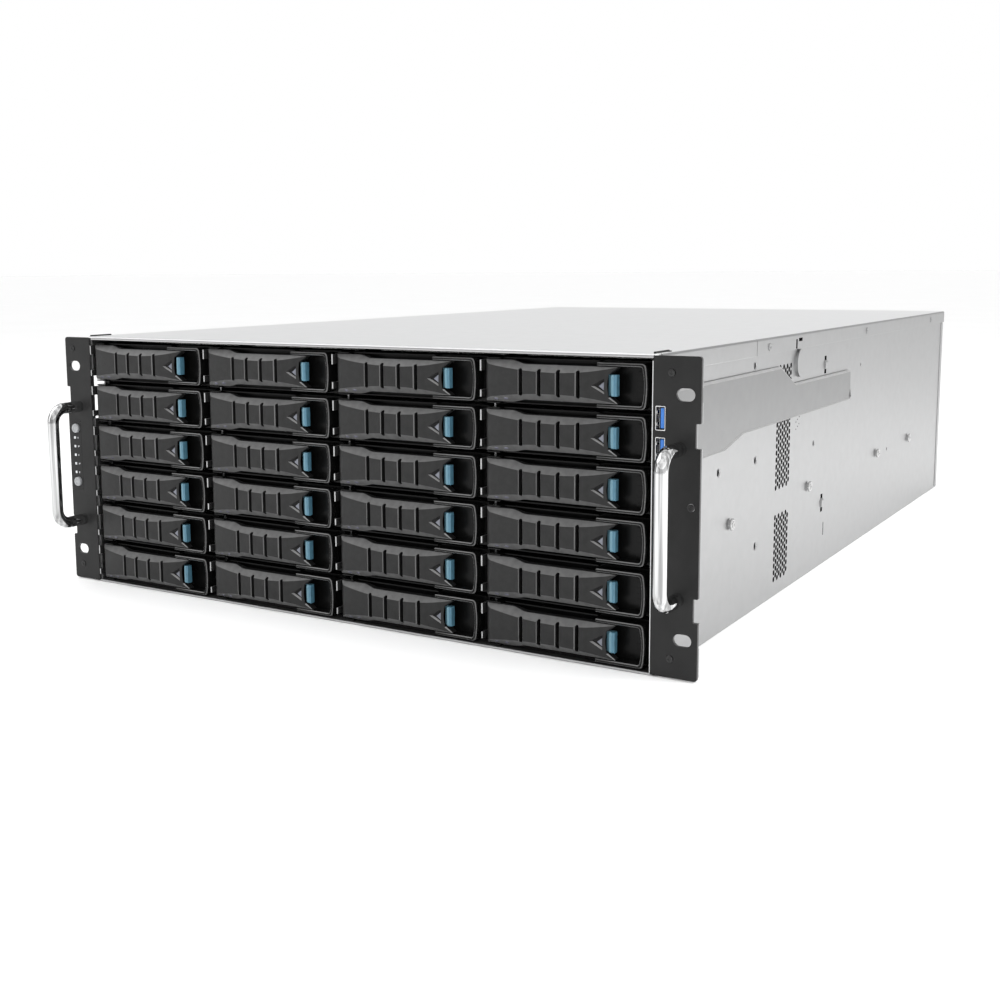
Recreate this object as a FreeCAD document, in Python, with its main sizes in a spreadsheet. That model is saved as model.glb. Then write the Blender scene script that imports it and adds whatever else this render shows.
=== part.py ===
import FreeCAD, Part
import math
import os
import Sketcher

# Rackmount server chassis, four units high, with twenty-four front trays.
# X runs to the right seen from the front, Y to the rear, Z up. Y = 0 is the plane
# where the ears meet the rack and Z = 0 is the underside of the base pan.

SIZES = (
    ("body_width", 434.0, "across the side walls"),
    ("body_height", 177.0, "underside to top cover"),
    ("body_depth", 711.0, "ear face to rear panel"),
    ("sheet", 1.2, "sheet metal thickness"),
    ("panel_width", 482.6, "across the ears"),
    ("ear_plate", 2.0, "ear cover plate thickness"),
    ("ear_low", 0.4, "lower end of the ear"),
    ("ear_high", 176.0, "upper end of the ear"),
    ("ear_corner", 1.6, "ear corner cut"),
    ("rack_hole_pitch", 465.1, "rack slots, left to right"),
    ("rack_slot_low", 22.2, "lower rack slot height"),
    ("rack_slot_pitch", 133.35, "rack slots, low to high"),
    ("rack_slot_radius", 3.5, "half the slot width"),
    ("rack_slot_length", 10.5, "rack slot length"),
    ("notch_low", 32.5, "lower ear notch height"),
    ("notch_high", 127.0, "upper ear notch height"),
    ("notch_height", 13.5, "ear notch length"),
    ("notch_depth", 2.8, "ear notch depth"),
    ("column_pitch", 107.5, "bay width"),
    ("row_pitch", 28.8, "bay height"),
    ("first_row", 14.6, "centre height of the lowest row"),
    ("tray_half_width", 51.9, "half the tray front width"),
    ("tray_half_height", 13.2, "half the tray front height"),
    ("bezel_front", 7.6, "face of the tray bezel"),
    ("bezel_back", 22.0, "back of the tray bezel"),
    ("rim_left", 19.0, "finger well rim, left end"),
    ("rim_right", 49.5, "finger well rim, right end"),
    ("rim_half_height", 12.5, "finger well rim, half height"),
    ("rim_wall", 1.3, "finger well rim thickness"),
    ("rim_corner", 2.4, "finger well rim corner cut"),
    ("sled_sheet", 0.9, "sled thickness"),
    ("sled_back", 181.0, "rear end of the sled"),
    ("sled_rail_top", 8.0, "top of the sled side rails"),
    ("drive_front", 32.0, "front of the drive"),
    ("drive_length", 147.0, "drive length"),
    ("drive_width", 101.6, "drive width"),
    ("drive_height", 26.1, "drive height"),
    ("pivot_x", -47.5, "lever pivot across the bay"),
    ("pivot_y", 2.4, "lever pivot depth"),
    ("knuckle_radius", 4.4, "lever knuckle radius"),
    ("pin_radius", 1.2, "lever pin radius"),
    ("pin_play", 0.06, "play round the lever pin"),
    ("lever_tip", 33.0, "right end of the lever"),
    ("lever_tip_face", -1.6, "lever face at its right end"),
    ("lever_back", 3.0, "back of the lever"),
    ("lever_half_root", 12.1, "half height at the pivot"),
    ("lever_half_arm", 10.2, "half height of the arm"),
    ("lever_step_left", -32.0, "where the height steps down"),
    ("lever_step_run", 8.0, "length of the step"),
    ("lever_bow", 4.6, "bow of the lever face"),
    ("vent_slot_first", -27.0, "first lever slot"),
    ("vent_slot_pitch", 12.1, "lever slot spacing"),
    ("vent_slot_width", 2.1, "lever slot width"),
    ("vent_slot_half", 7.6, "half the lever slot length"),
    ("latch_gate", 27.5, "lever edge beside the latch"),
    ("latch_half_height", 6.1, "half the latch height"),
    ("latch_right", 34.3, "right end of the latch"),
    ("latch_play", 0.3, "play round the latch"),
    ("divider_back", 188.0, "rear edge of the dividers"),
    ("ledge_reach", 2.0, "guide ledge width"),
    ("ledge_front", 30.0, "front end of the guide ledges"),
    ("board_y", 190.0, "front face of the backplane"),
    ("board_thick", 2.0, "backplane thickness"),
    ("fan_wall_y", 250.0, "front face of the fan wall"),
    ("fan_size", 120.0, "fan frame side"),
    ("fan_depth", 38.0, "fan frame depth"),
    ("fan_bore", 57.5, "fan opening radius"),
    ("fan_pitch", 132.0, "fan spacing"),
    ("fan_height", 88.0, "height of the fan axes"),
    ("hub_radius", 22.0, "fan hub radius"),
    ("blade_reach", 53.5, "fan blade tip"),
    ("blade_chord", 30.0, "fan blade chord"),
    ("vent_pitch", 15.0, "wall vent spacing"),
    ("vent_radius", 6.6, "wall vent, corner to middle"),
    ("seam_y", 150.0, "seam between the covers"),
    ("flange_low", 166.0, "lower edge of the cover flange"),
    ("handle_x", 229.5, "handle distance from the middle"),
    ("handle_low", 44.5, "lower handle foot"),
    ("handle_high", 126.5, "upper handle foot"),
    ("handle_reach", 24.5, "handle bar in front of the ear"),
    ("handle_bend", 10.0, "handle bend radius"),
    ("handle_radius", 4.0, "handle rod radius"),
    ("strip_inner", 229.4, "control strip, inner edge"),
    ("strip_outer", 238.2, "control strip, outer edge"),
    ("strip_low", 66.0, "control strip, lower end"),
    ("strip_high", 116.0, "control strip, upper end"),
    ("button_x", 234.4, "push button distance from the middle"),
    ("button_radius", 3.5, "push button radius"),
    ("power_z", 110.4, "power button height"),
    ("reset_z", 71.6, "reset button height"),
    ("usb_x", 220.6, "USB socket distance from the middle"),
    ("usb_high", 142.5, "upper USB socket height"),
    ("usb_pitch", 16.9, "USB socket spacing"),
    ("usb_width", 5.8, "USB shell width"),
    ("usb_height", 13.2, "USB shell height"),
    ("cable_cover_front", 12.0, "front end of the cable covers"),
    ("cable_cover_proud", 3.0, "cable cover thickness"),
    ("stud_radius", 4.2, "rail stud head radius"),
    ("stud_length", 4.0, "rail stud length"),
    ("stud_z", 65.0, "rail stud height"),
    ("supply_width", 73.5, "power supply width"),
    ("supply_height", 40.0, "power supply height"),
    ("supply_length", 185.0, "power supply length"),
    ("supply_left", 137.2, "power supply, left side"),
    ("supply_low", 2.7, "lower power supply, underside"),
    ("supply_pitch", 41.8, "power supply spacing"),
    ("aperture_left", -49.4, "board aperture, left side"),
    ("aperture_width", 158.75, "board aperture width"),
    ("aperture_low", 12.0, "board aperture, lower edge"),
    ("aperture_height", 44.45, "board aperture height"),
    ("band_low", 121.0, "upper band of the rear panel, lower edge"),
    ("card_first", -66.0, "first expansion slot"),
    ("card_pitch", 20.32, "expansion slot spacing"),
    ("standoff_height", 6.35, "board standoff height"),
)

doc = FreeCAD.newDocument("server_chassis")
sheet = doc.addObject("Spreadsheet::Sheet", "dims")


class Size:
    """A length that keeps its value together with the sheet formula behind it."""

    def __init__(self, value, formula):
        self.value = value
        self.formula = formula

    def __add__(self, other):
        other = as_size(other)
        return Size(self.value + other.value, f"({self.formula} + {other.formula})")

    def __sub__(self, other):
        other = as_size(other)
        return Size(self.value - other.value, f"({self.formula} - {other.formula})")

    def __mul__(self, other):
        other = as_size(other)
        return Size(self.value * other.value, f"({self.formula} * {other.formula})")

    def __truediv__(self, other):
        other = as_size(other)
        return Size(self.value / other.value, f"({self.formula} / {other.formula})")

    def __radd__(self, other):
        return as_size(other) + self

    def __rsub__(self, other):
        return as_size(other) - self

    def __neg__(self):
        return Size(-self.value, f"(0 - {self.formula})")


def as_size(number):
    if isinstance(number, Size):
        return number
    return Size(float(number), f"({float(number):.6g})")


class Named:
    """The sheet sizes by name."""


d = Named()
for line, (name, value, note) in enumerate(SIZES, 1):
    sheet.set(f"A{line}", note)
    sheet.set(f"B{line}", str(value))
    sheet.setAlias(f"B{line}", name)
    setattr(d, name, Size(value, f"dims.{name}"))
doc.recompute()


def place(thing, x, y, z):
    for axis, value in zip("xyz", (x, y, z)):
        thing.setExpression(f"Placement.Base.{axis}", as_size(value).formula)


def block(name, x, y, z):
    """A box from a (low, high) pair along each axis."""
    thing = doc.addObject("Part::Box", name)
    for prop, (low, high) in zip(("Length", "Width", "Height"), (x, y, z)):
        thing.setExpression(prop, (as_size(high) - low).formula)
    place(thing, x[0], y[0], z[0])
    return thing


TURNS = {
    "x": FreeCAD.Rotation(FreeCAD.Vector(0, 1, 0), 90),
    "y": FreeCAD.Rotation(FreeCAD.Vector(1, 0, 0), -90),
    "z": FreeCAD.Rotation(),
}


def rod(name, axis, radius, start, length, sides=0):
    """A round bar, or a bar with flat sides, from its start point along an axis."""
    if sides:
        thing = doc.addObject("Part::Prism", name)
        thing.Polygon = sides
        thing.setExpression("Circumradius", as_size(radius).formula)
    else:
        thing = doc.addObject("Part::Cylinder", name)
        thing.setExpression("Radius", as_size(radius).formula)
    thing.setExpression("Height", as_size(length).formula)
    thing.Placement = FreeCAD.Placement(FreeCAD.Vector(), TURNS[axis])
    place(thing, *start)
    return thing


def fuse(name, things):
    joined = doc.addObject("Part::MultiFuse", name)
    joined.Shapes = things
    return joined


def group(name, things):
    several = doc.addObject("Part::Compound", name)
    several.Links = things
    return several


def cut(name, base, tools):
    left = doc.addObject("Part::Cut", name)
    left.Base = base
    left.Tool = tools[0] if len(tools) == 1 else group(f"{name}_tools", tools)
    return left


def mirrored(name, source):
    """The same piece on the other side of the middle plane."""
    copy = doc.addObject("Part::Mirroring", name)
    copy.Source = source
    copy.Normal = FreeCAD.Vector(1, 0, 0)
    return copy


def sketch_on(body, plane, offset):
    sketch = body.newObject("Sketcher::SketchObject", f"{body.Name}_sketch")
    support = [f for f in body.Origin.OriginFeatures if f.Role == f"{plane}_Plane"]
    sketch.AttachmentSupport = [(support[0], "")]
    sketch.MapMode = "FlatFace"
    sketch.setExpression("AttachmentOffset.Base.z", as_size(offset).formula)
    return sketch


def arc_between(start, end, radius):
    """The short arc from start to end; a radius below zero bends to the right."""
    along = end - start
    half = along.Length / 2
    side = FreeCAD.Vector(-along.y, along.x, 0).normalize()
    rise = math.sqrt(max(radius * radius - half * half, 0))
    centre = start + along * 0.5 + side * math.copysign(rise, radius)
    ends = (start, end) if radius > 0 else (end, start)
    angles = [math.atan2(p.y - centre.y, p.x - centre.x) for p in ends]
    circle = Part.Circle(centre, FreeCAD.Vector(0, 0, 1), abs(radius))
    return Part.ArcOfCircle(circle, angles[0], angles[1])


def draw_loop(sketch, points, bound):
    """Close a loop of (u, v) points. A third value is the radius of the arc that leads on."""
    first = sketch.GeometryCount
    corners = [FreeCAD.Vector(as_size(p[0]).value, as_size(p[1]).value, 0) for p in points]
    starts, ends, rules = [], [], []
    for i, point in enumerate(points):
        start = corners[i]
        end = corners[(i + 1) % len(points)]
        radius = as_size(point[2]) if len(point) > 2 else None
        if radius:
            sketch.addGeometry(arc_between(start, end, radius.value))
            rules.append(("Radius", (first + i,), radius if radius.value > 0 else -radius))
        else:
            sketch.addGeometry(Part.LineSegment(start, end))
        forward = radius is None or radius.value > 0
        starts.append((first + i, 1 if forward else 2))
        ends.append((first + i, 2 if forward else 1))
        rules.append(("DistanceX", (-1, 1) + starts[i], as_size(point[0])))
        rules.append(("DistanceY", (-1, 1) + starts[i], as_size(point[1])))
    meets = []
    for i, end in enumerate(ends):
        meets.append(Sketcher.Constraint("Coincident", *end, *starts[(i + 1) % len(points)]))
    sketch.addConstraint(meets)
    for kind, where, value in rules:
        index = sketch.addConstraint(Sketcher.Constraint(kind, *where, value.value))
        bound.append((index, value))


def draw_circle(sketch, u, v, radius, bound):
    centre = FreeCAD.Vector(as_size(u).value, as_size(v).value, 0)
    up = FreeCAD.Vector(0, 0, 1)
    index = sketch.addGeometry(Part.Circle(centre, up, as_size(radius).value))
    rules = (
        (("DistanceX", -1, 1, index, 3), as_size(u)),
        (("DistanceY", -1, 1, index, 3), as_size(v)),
        (("Radius", index), as_size(radius)),
    )
    for rule, value in rules:
        bound.append((sketch.addConstraint(Sketcher.Constraint(*rule, value.value)), value))


def feature(body, kind, plane, loops, circles, low, high):
    """A pad or pocket over a (low, high) range along the normal of an origin plane."""
    low, high = as_size(low), as_size(high)
    near_low = (plane != "XZ") == (kind == "Pad")
    offset = low if near_low else high
    sketch = sketch_on(body, plane, -offset if plane == "XZ" else offset)
    bound = []
    for points in loops:
        draw_loop(sketch, points, bound)
    for u, v, radius in circles:
        draw_circle(sketch, u, v, radius, bound)
    for index, value in bound:
        sketch.setExpression(f"Constraints[{index}]", value.formula)
    made = body.newObject(f"PartDesign::{kind}", f"{body.Name}_{kind.lower()}")
    made.Profile = sketch
    made.setExpression("Length", (high - low).formula)
    body.Tip = made
    return made


def pad(body, plane, loops, low, high, circles=()):
    return feature(body, "Pad", plane, loops, circles, low, high)


def pocket(body, plane, loops, low, high, circles=()):
    return feature(body, "Pocket", plane, loops, circles, low, high)


def new_body(name):
    return doc.addObject("PartDesign::Body", name)


def rectangle(u, v):
    return [(u[0], v[0]), (u[1], v[0]), (u[1], v[1]), (u[0], v[1])]


def rounded_slot(u, v, length, radius):
    """A slot with round ends along the first axis."""
    half = as_size(length) / 2 - radius
    return [
        (u - half, v - radius),
        (u + half, v - radius, radius),
        (u + half + radius, v, radius),
        (u + half, v + radius),
        (u - half, v + radius, radius),
        (u - half - radius, v, radius),
    ]


half_width = d.body_width / 2
inner_wall = half_width - d.sheet
face = -(d.ear_plate + d.sheet)
rear = d.body_depth + face
lid_under = d.body_height - d.sheet
nodes = {}


def node(name, thing):
    thing.Label = name
    nodes[name] = thing
    return thing


# Base pan: floor, folded side flanges behind the drive cage, and board standoffs.
pan = new_body("pan")
pad(pan, "XZ", [rectangle((-inner_wall, inner_wall), (0, d.sheet))], face, rear)
for side in (-1, 1):
    outer = inner_wall if side > 0 else -inner_wall
    inner = outer - d.sheet if side > 0 else outer + d.sheet
    pair = (inner, outer) if side > 0 else (outer, inner)
    pad(pan, "XZ", [rectangle(pair, (d.sheet, 14))], 200, rear - d.sheet - 0.3)
standoffs = []
for x in (105.0, -47.4, -186.7):
    for y in (690.0, 535.7, 463.3):
        standoffs.append(rod("standoff", "z", 3.4, (x, y, d.sheet), d.standoff_height, 6))
node("base_pan", group("base_pan", [pan, *standoffs]))


def ear_outline(inner_edge):
    """Ear seen from the front: cut corners and two notches in the outer edge."""
    edge = d.panel_width / 2
    nick = d.ear_corner
    points = [(inner_edge, d.ear_low), (edge - nick, d.ear_low), (edge, d.ear_low + nick)]
    for low in (d.notch_low, d.notch_high):
        points += [
            (edge, low),
            (edge - d.notch_depth, low),
            (edge - d.notch_depth, low + d.notch_height),
            (edge, low + d.notch_height),
        ]
    return points + [
        (edge, d.ear_high - nick),
        (edge - nick, d.ear_high),
        (inner_edge, d.ear_high),
    ]


def rack_slots():
    middle = d.rack_hole_pitch / 2
    heights = (d.rack_slot_low, d.rack_slot_low + d.rack_slot_pitch)
    return [rounded_slot(middle, z, d.rack_slot_length, d.rack_slot_radius) for z in heights]


usb_window = rectangle(
    (d.usb_x - d.usb_width / 2 - 0.2, d.usb_x + d.usb_width / 2 + 0.2),
    (d.usb_high - d.usb_pitch - d.usb_height / 2 - 0.2, d.usb_high + d.usb_height / 2 + 0.2),
)
strip_window = rectangle((d.strip_inner - 0.1, d.strip_outer + 0.1), (d.strip_low - 0.1, d.strip_high + 0.1))

# Side walls: one sheet that turns outwards at the front, behind the ear plates.
turned_edge = d.panel_width / 2 - d.notch_depth - 0.4
rack_middle = d.rack_hole_pitch / 2
rack_windows = []
for z in (d.rack_slot_low, d.rack_slot_low + d.rack_slot_pitch):
    reach = d.rack_slot_length / 2 + 0.4
    half = d.rack_slot_radius + 0.4
    rack_windows.append(rectangle((rack_middle - reach, turned_edge + 1), (z - half, z + half)))
wall = new_body("wall")
pad(wall, "YZ", [rectangle((-d.sheet, rear), (0, lid_under))], inner_wall, half_width)
pad(wall, "XZ", [rectangle((half_width, turned_edge), (d.ear_low + 2, d.ear_high - 2))], -d.sheet, 0)
pocket(wall, "XZ", [*rack_windows, usb_window, strip_window], -d.sheet - 1, 1)
bridge_slots = [
    rectangle((303.5, 307.5), (41.0, 53.6)),
    rectangle((303.5, 307.5), (144.4, 156.5)),
    rectangle((310.5, 312.0), (21.8, 31.7)),
]
pocket(wall, "YZ", bridge_slots, inner_wall - 1, half_width + 1)
vent_holes = []
for column in range(3):
    for low, count in ((14.0, 3), (75.0, 4)):
        for step in range(count - column % 2):
            z = low + d.vent_pitch * (step + column % 2 * 0.5)
            y = 199.0 + 11.5 * column
            start = (inner_wall - 1, y, z)
            vent_holes.append(rod("vent_hole", "x", d.vent_radius, start, d.sheet + 2, 6))
right_wall = cut("right_wall", wall, vent_holes)
node("side_walls", group("side_walls", [right_wall, mirrored("left_wall", right_wall)]))

# Covers: the front one is fixed, the rear one lifts off.
front_cover = new_body("front_cover")
pad(front_cover, "XZ", [rectangle((-half_width, half_width), (lid_under, d.body_height))], face, d.seam_y)
lip_edge = d.column_pitch * 2
pad(front_cover, "XZ", [rectangle((-lip_edge, lip_edge), (lid_under - 2.4, lid_under))], face, face + d.sheet)
outer_skin = half_width + d.sheet
for side in (-1, 1):
    pair = (half_width, outer_skin) if side > 0 else (-outer_skin, -half_width)
    pad(front_cover, "XZ", [rectangle(pair, (d.flange_low, d.body_height))], 0.4, d.seam_y)
node("front_top_cover", front_cover)

cover_section = [
    (-outer_skin, d.flange_low),
    (-half_width, d.flange_low),
    (-half_width, lid_under),
    (half_width, lid_under),
    (half_width, d.flange_low),
    (outer_skin, d.flange_low),
    (outer_skin, d.body_height),
    (-outer_skin, d.body_height),
]
rear_cover = new_body("rear_cover")
pad(rear_cover, "XZ", [cover_section], d.seam_y + 0.6, rear + d.sheet)
rear_lip = rectangle((-half_width, half_width), (d.flange_low + 2, lid_under))
pad(rear_cover, "XZ", [rear_lip], rear, rear + d.sheet)
node("rear_top_cover", rear_cover)

# Rear panel: sheets and posts welded round the board aperture, the expansion slots and the supply bay.
supply_bay = ((d.supply_left - 1.4, d.supply_left + d.supply_width + 1.3), (d.sheet * 2, 85.2))
bay_left, bay_right = supply_bay[0]
bay_low, bay_top = supply_bay[1]
aperture_right = d.aperture_left + d.aperture_width
aperture_top = d.aperture_low + d.aperture_height


def panel_sheet(name, u, v, windows=()):
    part = new_body(name)
    pad(part, "XZ", [rectangle(u, v)], rear - d.sheet, rear)
    if windows:
        pocket(part, "XZ", windows, rear - 3, rear + 1)
    return part


card_slots = []
for slot in range(7):
    x = d.card_first - d.card_pitch * slot
    card_slots.append(rectangle((x - 6.5, x + 6.5), (14, 116)))
head_slots = []
for slot in range(4):
    x = -44.0 + 39.0 * slot
    head_slots.append(rectangle((x, x + 30), (70, 116)))
band_slots = []
for slot in range(10):
    x = -198.0 + 39.0 * slot
    band_slots.append(rectangle((x, x + 30), (126, 162)))
panel_sheets = [
    panel_sheet("panel_sill", (-inner_wall, bay_left), (d.sheet, d.aperture_low)),
    panel_sheet("panel_cards", (-inner_wall, d.aperture_left), (d.aperture_low, d.band_low), card_slots),
    panel_sheet("panel_head", (d.aperture_left, bay_left), (aperture_top, d.band_low), head_slots),
    panel_sheet("panel_post", (aperture_right, bay_left), (d.aperture_low, aperture_top)),
    panel_sheet("panel_bay_sill", (bay_left, bay_right), (d.sheet, bay_low)),
    panel_sheet("panel_bay_post", (bay_right, inner_wall), (d.sheet, bay_top)),
    panel_sheet("panel_bay_head", (bay_left, inner_wall), (bay_top, d.band_low)),
    panel_sheet("panel_band", (-inner_wall, inner_wall), (d.band_low, lid_under), band_slots),
]
node("rear_panel", group("rear_panel", panel_sheets))

cards = []
for slot in range(7):
    x = d.card_first - d.card_pitch * slot
    card = new_body("card")
    inside = rear - d.sheet - 0.2
    section = [
        (inside, 10),
        (inside, 121),
        (inside - 11, 121),
        (inside - 11, 120),
        (inside - 1, 120),
        (inside - 1, 10),
    ]
    pad(card, "YZ", [section], x - 9.2, x + 9.2)
    cards.append(card)
node("slot_covers", group("slot_covers", cards))

# Ears: black plates over the turned-out wall edges.
ears = {}
for name, window in (("right_ear", usb_window), ("left_ear", strip_window)):
    ear = new_body(name)
    pad(ear, "XZ", [ear_outline(half_width)], face, -d.sheet)
    pocket(ear, "XZ", [*rack_slots(), window], face - 1, 1)
    ears[name] = ear
node("right_ear", ears["right_ear"])
node("left_ear", mirrored("left_ear_plate", ears["left_ear"]))

# Pull handles: one bent rod on each ear.
handle = new_body("handle")
path = sketch_on(handle, "YZ", d.handle_x)
grip = face - d.handle_reach
bend = d.handle_bend
run = [
    (face, d.handle_low),
    (grip + bend, d.handle_low, -bend),
    (grip, d.handle_low + bend),
    (grip, d.handle_high - bend, -bend),
    (grip + bend, d.handle_high),
    (face, d.handle_high),
]
spots = [FreeCAD.Vector(p[0].value, p[1].value, 0) for p in run]
tails = []
path_rules = []
for i in range(len(run) - 1):
    curved = len(run[i]) > 2
    if curved:
        path.addGeometry(arc_between(spots[i], spots[i + 1], run[i][2].value))
    else:
        path.addGeometry(Part.LineSegment(spots[i], spots[i + 1]))
    head, tail = (2, 1) if curved else (1, 2)
    path_rules.append((("DistanceX", -1, 1, i, head), run[i][0]))
    path_rules.append((("DistanceY", -1, 1, i, head), run[i][1]))
    if i:
        path.addConstraint(Sketcher.Constraint("Coincident", i - 1, tails[-1], i, head))
    if curved:
        path_rules.append((("Radius", i), bend))
    tails.append(tail)
path_rules.append((("DistanceX", -1, 1, len(run) - 2, 2), run[-1][0]))
path_rules.append((("DistanceY", -1, 1, len(run) - 2, 2), run[-1][1]))
for rule, value in path_rules:
    index = path.addConstraint(Sketcher.Constraint(*rule, value.value))
    path.setExpression(f"Constraints[{index}]", value.formula)
section = sketch_on(handle, "XZ", -face)
flat = d.handle_radius * math.tan(math.pi / 8)
full = d.handle_radius
eight = [(full, -flat), (full, flat), (flat, full), (-flat, full)]
eight += [(-u, -v) for u, v in eight]
section_bound = []
draw_loop(section, [(d.handle_x + u, d.handle_low + v) for u, v in eight], section_bound)
for index, value in section_bound:
    section.setExpression(f"Constraints[{index}]", value.formula)
doc.recompute()
swept = handle.newObject("PartDesign::AdditivePipe", "handle_sweep")
swept.Profile = section
swept.Spine = path
swept.Transition = "Right corner"
handle.Tip = swept
node("pull_handles", group("pull_handles", [handle, mirrored("left_handle", handle)]))

# Control strip in the left ear, with its two push buttons and five lenses.
strip = new_body("strip")
strip_face = rectangle((-d.strip_outer, -d.strip_inner), (d.strip_low, d.strip_high))
pad(strip, "XZ", [strip_face], face, 3)
well = d.button_radius + 0.4
wells = []
for z in (d.power_z, d.reset_z):
    wells.append(rectangle((-d.button_x - well, -d.button_x + well), (z - well, z + well)))
pocket(strip, "XZ", wells, face - 1, 4)
lenses = []
for step in range(5):
    z = 103.6 - 6.3 * step
    lenses.append(block("lens", (-236.9, -234.5), (face - 0.3, face), (z - 1.2, z + 1.2)))
node("control_panel", group("control_panel", [strip, *lenses]))
for name, z in (("power_button", d.power_z), ("reset_button", d.reset_z)):
    node(name, rod(name, "y", d.button_radius, (-d.button_x, face - 1.3, z), 6))

# USB sockets in the right ear: a hollow shell and a tongue.
sockets = []
for step in range(2):
    z = d.usb_high - d.usb_pitch * step
    x_range = (d.usb_x - d.usb_width / 2, d.usb_x + d.usb_width / 2)
    z_range = (z - d.usb_height / 2, z + d.usb_height / 2)
    shell = block("usb_shell", x_range, (face - 0.2, 9), z_range)
    hollow = block(
        "usb_hollow",
        (x_range[0] + 0.35, x_range[1] - 0.35),
        (face - 1, 8),
        (z_range[0] + 0.35, z_range[1] - 0.35),
    )
    sockets.append(cut("usb_socket", shell, [hollow]))
    tongue_x = (d.usb_x - 0.2, d.usb_x + 1.7)
    sockets.append(block("usb_tongue", tongue_x, (face + 0.6, 8), (z - 5.4, z + 5.4)))
node("usb_ports", group("usb_ports", sockets))

# Cable covers: stepped plates on both walls, from behind the USB sockets past the fan bank.
cable_cover = new_body("cable_cover")
cable_outline = [
    (d.cable_cover_front, 112.6),
    (101.0, 112.6),
    (133.0, 118.3),
    (375.0, 118.3),
    (375.0, 140.5),
    (238.0, 141.0),
    (206.5, 155.7),
    (d.cable_cover_front, 155.7),
]
pad(cable_cover, "YZ", [cable_outline], half_width, half_width + d.cable_cover_proud)
node("cable_covers", group("cable_covers", [cable_cover, mirrored("left_cable_cover", cable_cover)]))

studs = []
for y in (110.0, 269.5, 462.0, 575.0):
    stud = rod("stud", "x", d.stud_radius, (half_width, y, d.stud_z), d.stud_length, 8)
    studs += [stud, mirrored("left_stud", stud)]
node("rail_studs", group("rail_studs", studs))

# Drive cage: five upright dividers with guide ledges.
def divider(column):
    """An upright plate and the ledges that carry the sleds on its inner sides."""
    x = d.column_pitch * column
    half = d.sheet / 2
    height = (d.sheet, lid_under - 2.6)
    pieces = [block("divider_plate", (x - half, x + half), (face, d.divider_back), height)]
    for row in range(1, 6):
        top = d.first_row + d.row_pitch * row - d.tray_half_height - 0.1
        spans = []
        if column > -2:
            spans.append((x - half - d.ledge_reach, x - half))
        if column < 2:
            spans.append((x + half, x + half + d.ledge_reach))
        for span in spans:
            pieces.append(block("ledge", span, (d.ledge_front, d.sled_back), (top - 1, top)))
    return pieces


dividers = []
for column in range(-2, 3):
    dividers += divider(column)
node("cage_dividers", group("cage_dividers", dividers))

# Backplane with a connector behind every tray and air slots between the rows.
board = new_body("board")
pad(board, "XZ", [rectangle((-212, 212), (4, 172))], d.board_y, d.board_y + d.board_thick)
gaps = []
for row in range(5):
    z = d.first_row + d.row_pitch * (row + 0.5)
    for side in (-1, 1):
        x = d.column_pitch * side
        gaps.append(rectangle((x - 92, x + 92), (z - 5, z + 5)))
pocket(board, "XZ", gaps, d.board_y - 1, d.board_y + d.board_thick + 1)
connectors = []
for row in range(6):
    for column in range(4):
        x = d.column_pitch * (column - 1.5)
        z = d.first_row + d.row_pitch * row - 8
        connectors.append(block("connector", (x - 22, x + 22), (180, d.board_y), (z - 3, z + 3)))
node("backplane", group("backplane", [board, *connectors]))

# Fan wall: a bracket with three windows, and a frame with struts behind each.
bracket = new_body("bracket")
fan_back = d.fan_wall_y + d.sheet
centres = [d.fan_pitch * step for step in (-1, 0, 1)]
fan_half = d.fan_size / 2
windows = []
for x in centres:
    reach = fan_half - 3
    windows.append(rectangle((x - reach, x + reach), (d.fan_height - reach, d.fan_height + reach)))
pad(bracket, "XZ", [rectangle((-213, 213), (d.sheet, 172))], d.fan_wall_y, fan_back)
pocket(bracket, "XZ", windows, d.fan_wall_y - 1, fan_back + 1)
frames = []
for x in centres:
    frame = new_body("fan_frame")
    square = rectangle((x - fan_half, x + fan_half), (d.fan_height - fan_half, d.fan_height + fan_half))
    pad(frame, "XZ", [square], fan_back, fan_back + d.fan_depth)
    pocket(frame, "XZ", [], fan_back - 1, fan_back + d.fan_depth + 1, [(x, d.fan_height, d.fan_bore)])
    strut = (fan_back + d.fan_depth - 3, fan_back + d.fan_depth)
    for u, v in ((d.fan_bore + 1, 2.5), (2.5, d.fan_bore + 1), (d.hub_radius, d.hub_radius)):
        bar = rectangle((x - u, x + u), (d.fan_height - v, d.fan_height + v))
        pad(frame, "XZ", [bar], *strut)
    frames.append(frame)
node("fan_wall", group("fan_wall", [bracket, *frames]))

BLADES = 5
for name, x in zip(("left", "middle", "right"), centres):
    hub = rod("hub", "y", d.hub_radius, (x, fan_back + 5, d.fan_height), 28, 12)
    blades = []
    for turn in range(BLADES):
        blade = doc.addObject("Part::Box", "blade")
        blade.setExpression("Length", (d.blade_reach - d.hub_radius + 2).formula)
        blade.setExpression("Width", d.blade_chord.formula)
        blade.Height = 2
        pitch = FreeCAD.Placement(FreeCAD.Vector(), FreeCAD.Rotation(FreeCAD.Vector(1, 0, 0), 50))
        centred = FreeCAD.Placement(FreeCAD.Vector(20, -15, -1), FreeCAD.Rotation())
        around = FreeCAD.Rotation(FreeCAD.Vector(0, 1, 0), 360 / BLADES * turn)
        centre = FreeCAD.Vector(x.value, fan_back.value + 19, d.fan_height.value)
        blade.Placement = FreeCAD.Placement(centre, around) * pitch * centred
        blades.append(blade)
    node(f"fan_rotor_{name}", fuse("rotor", [hub, *blades]))

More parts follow.
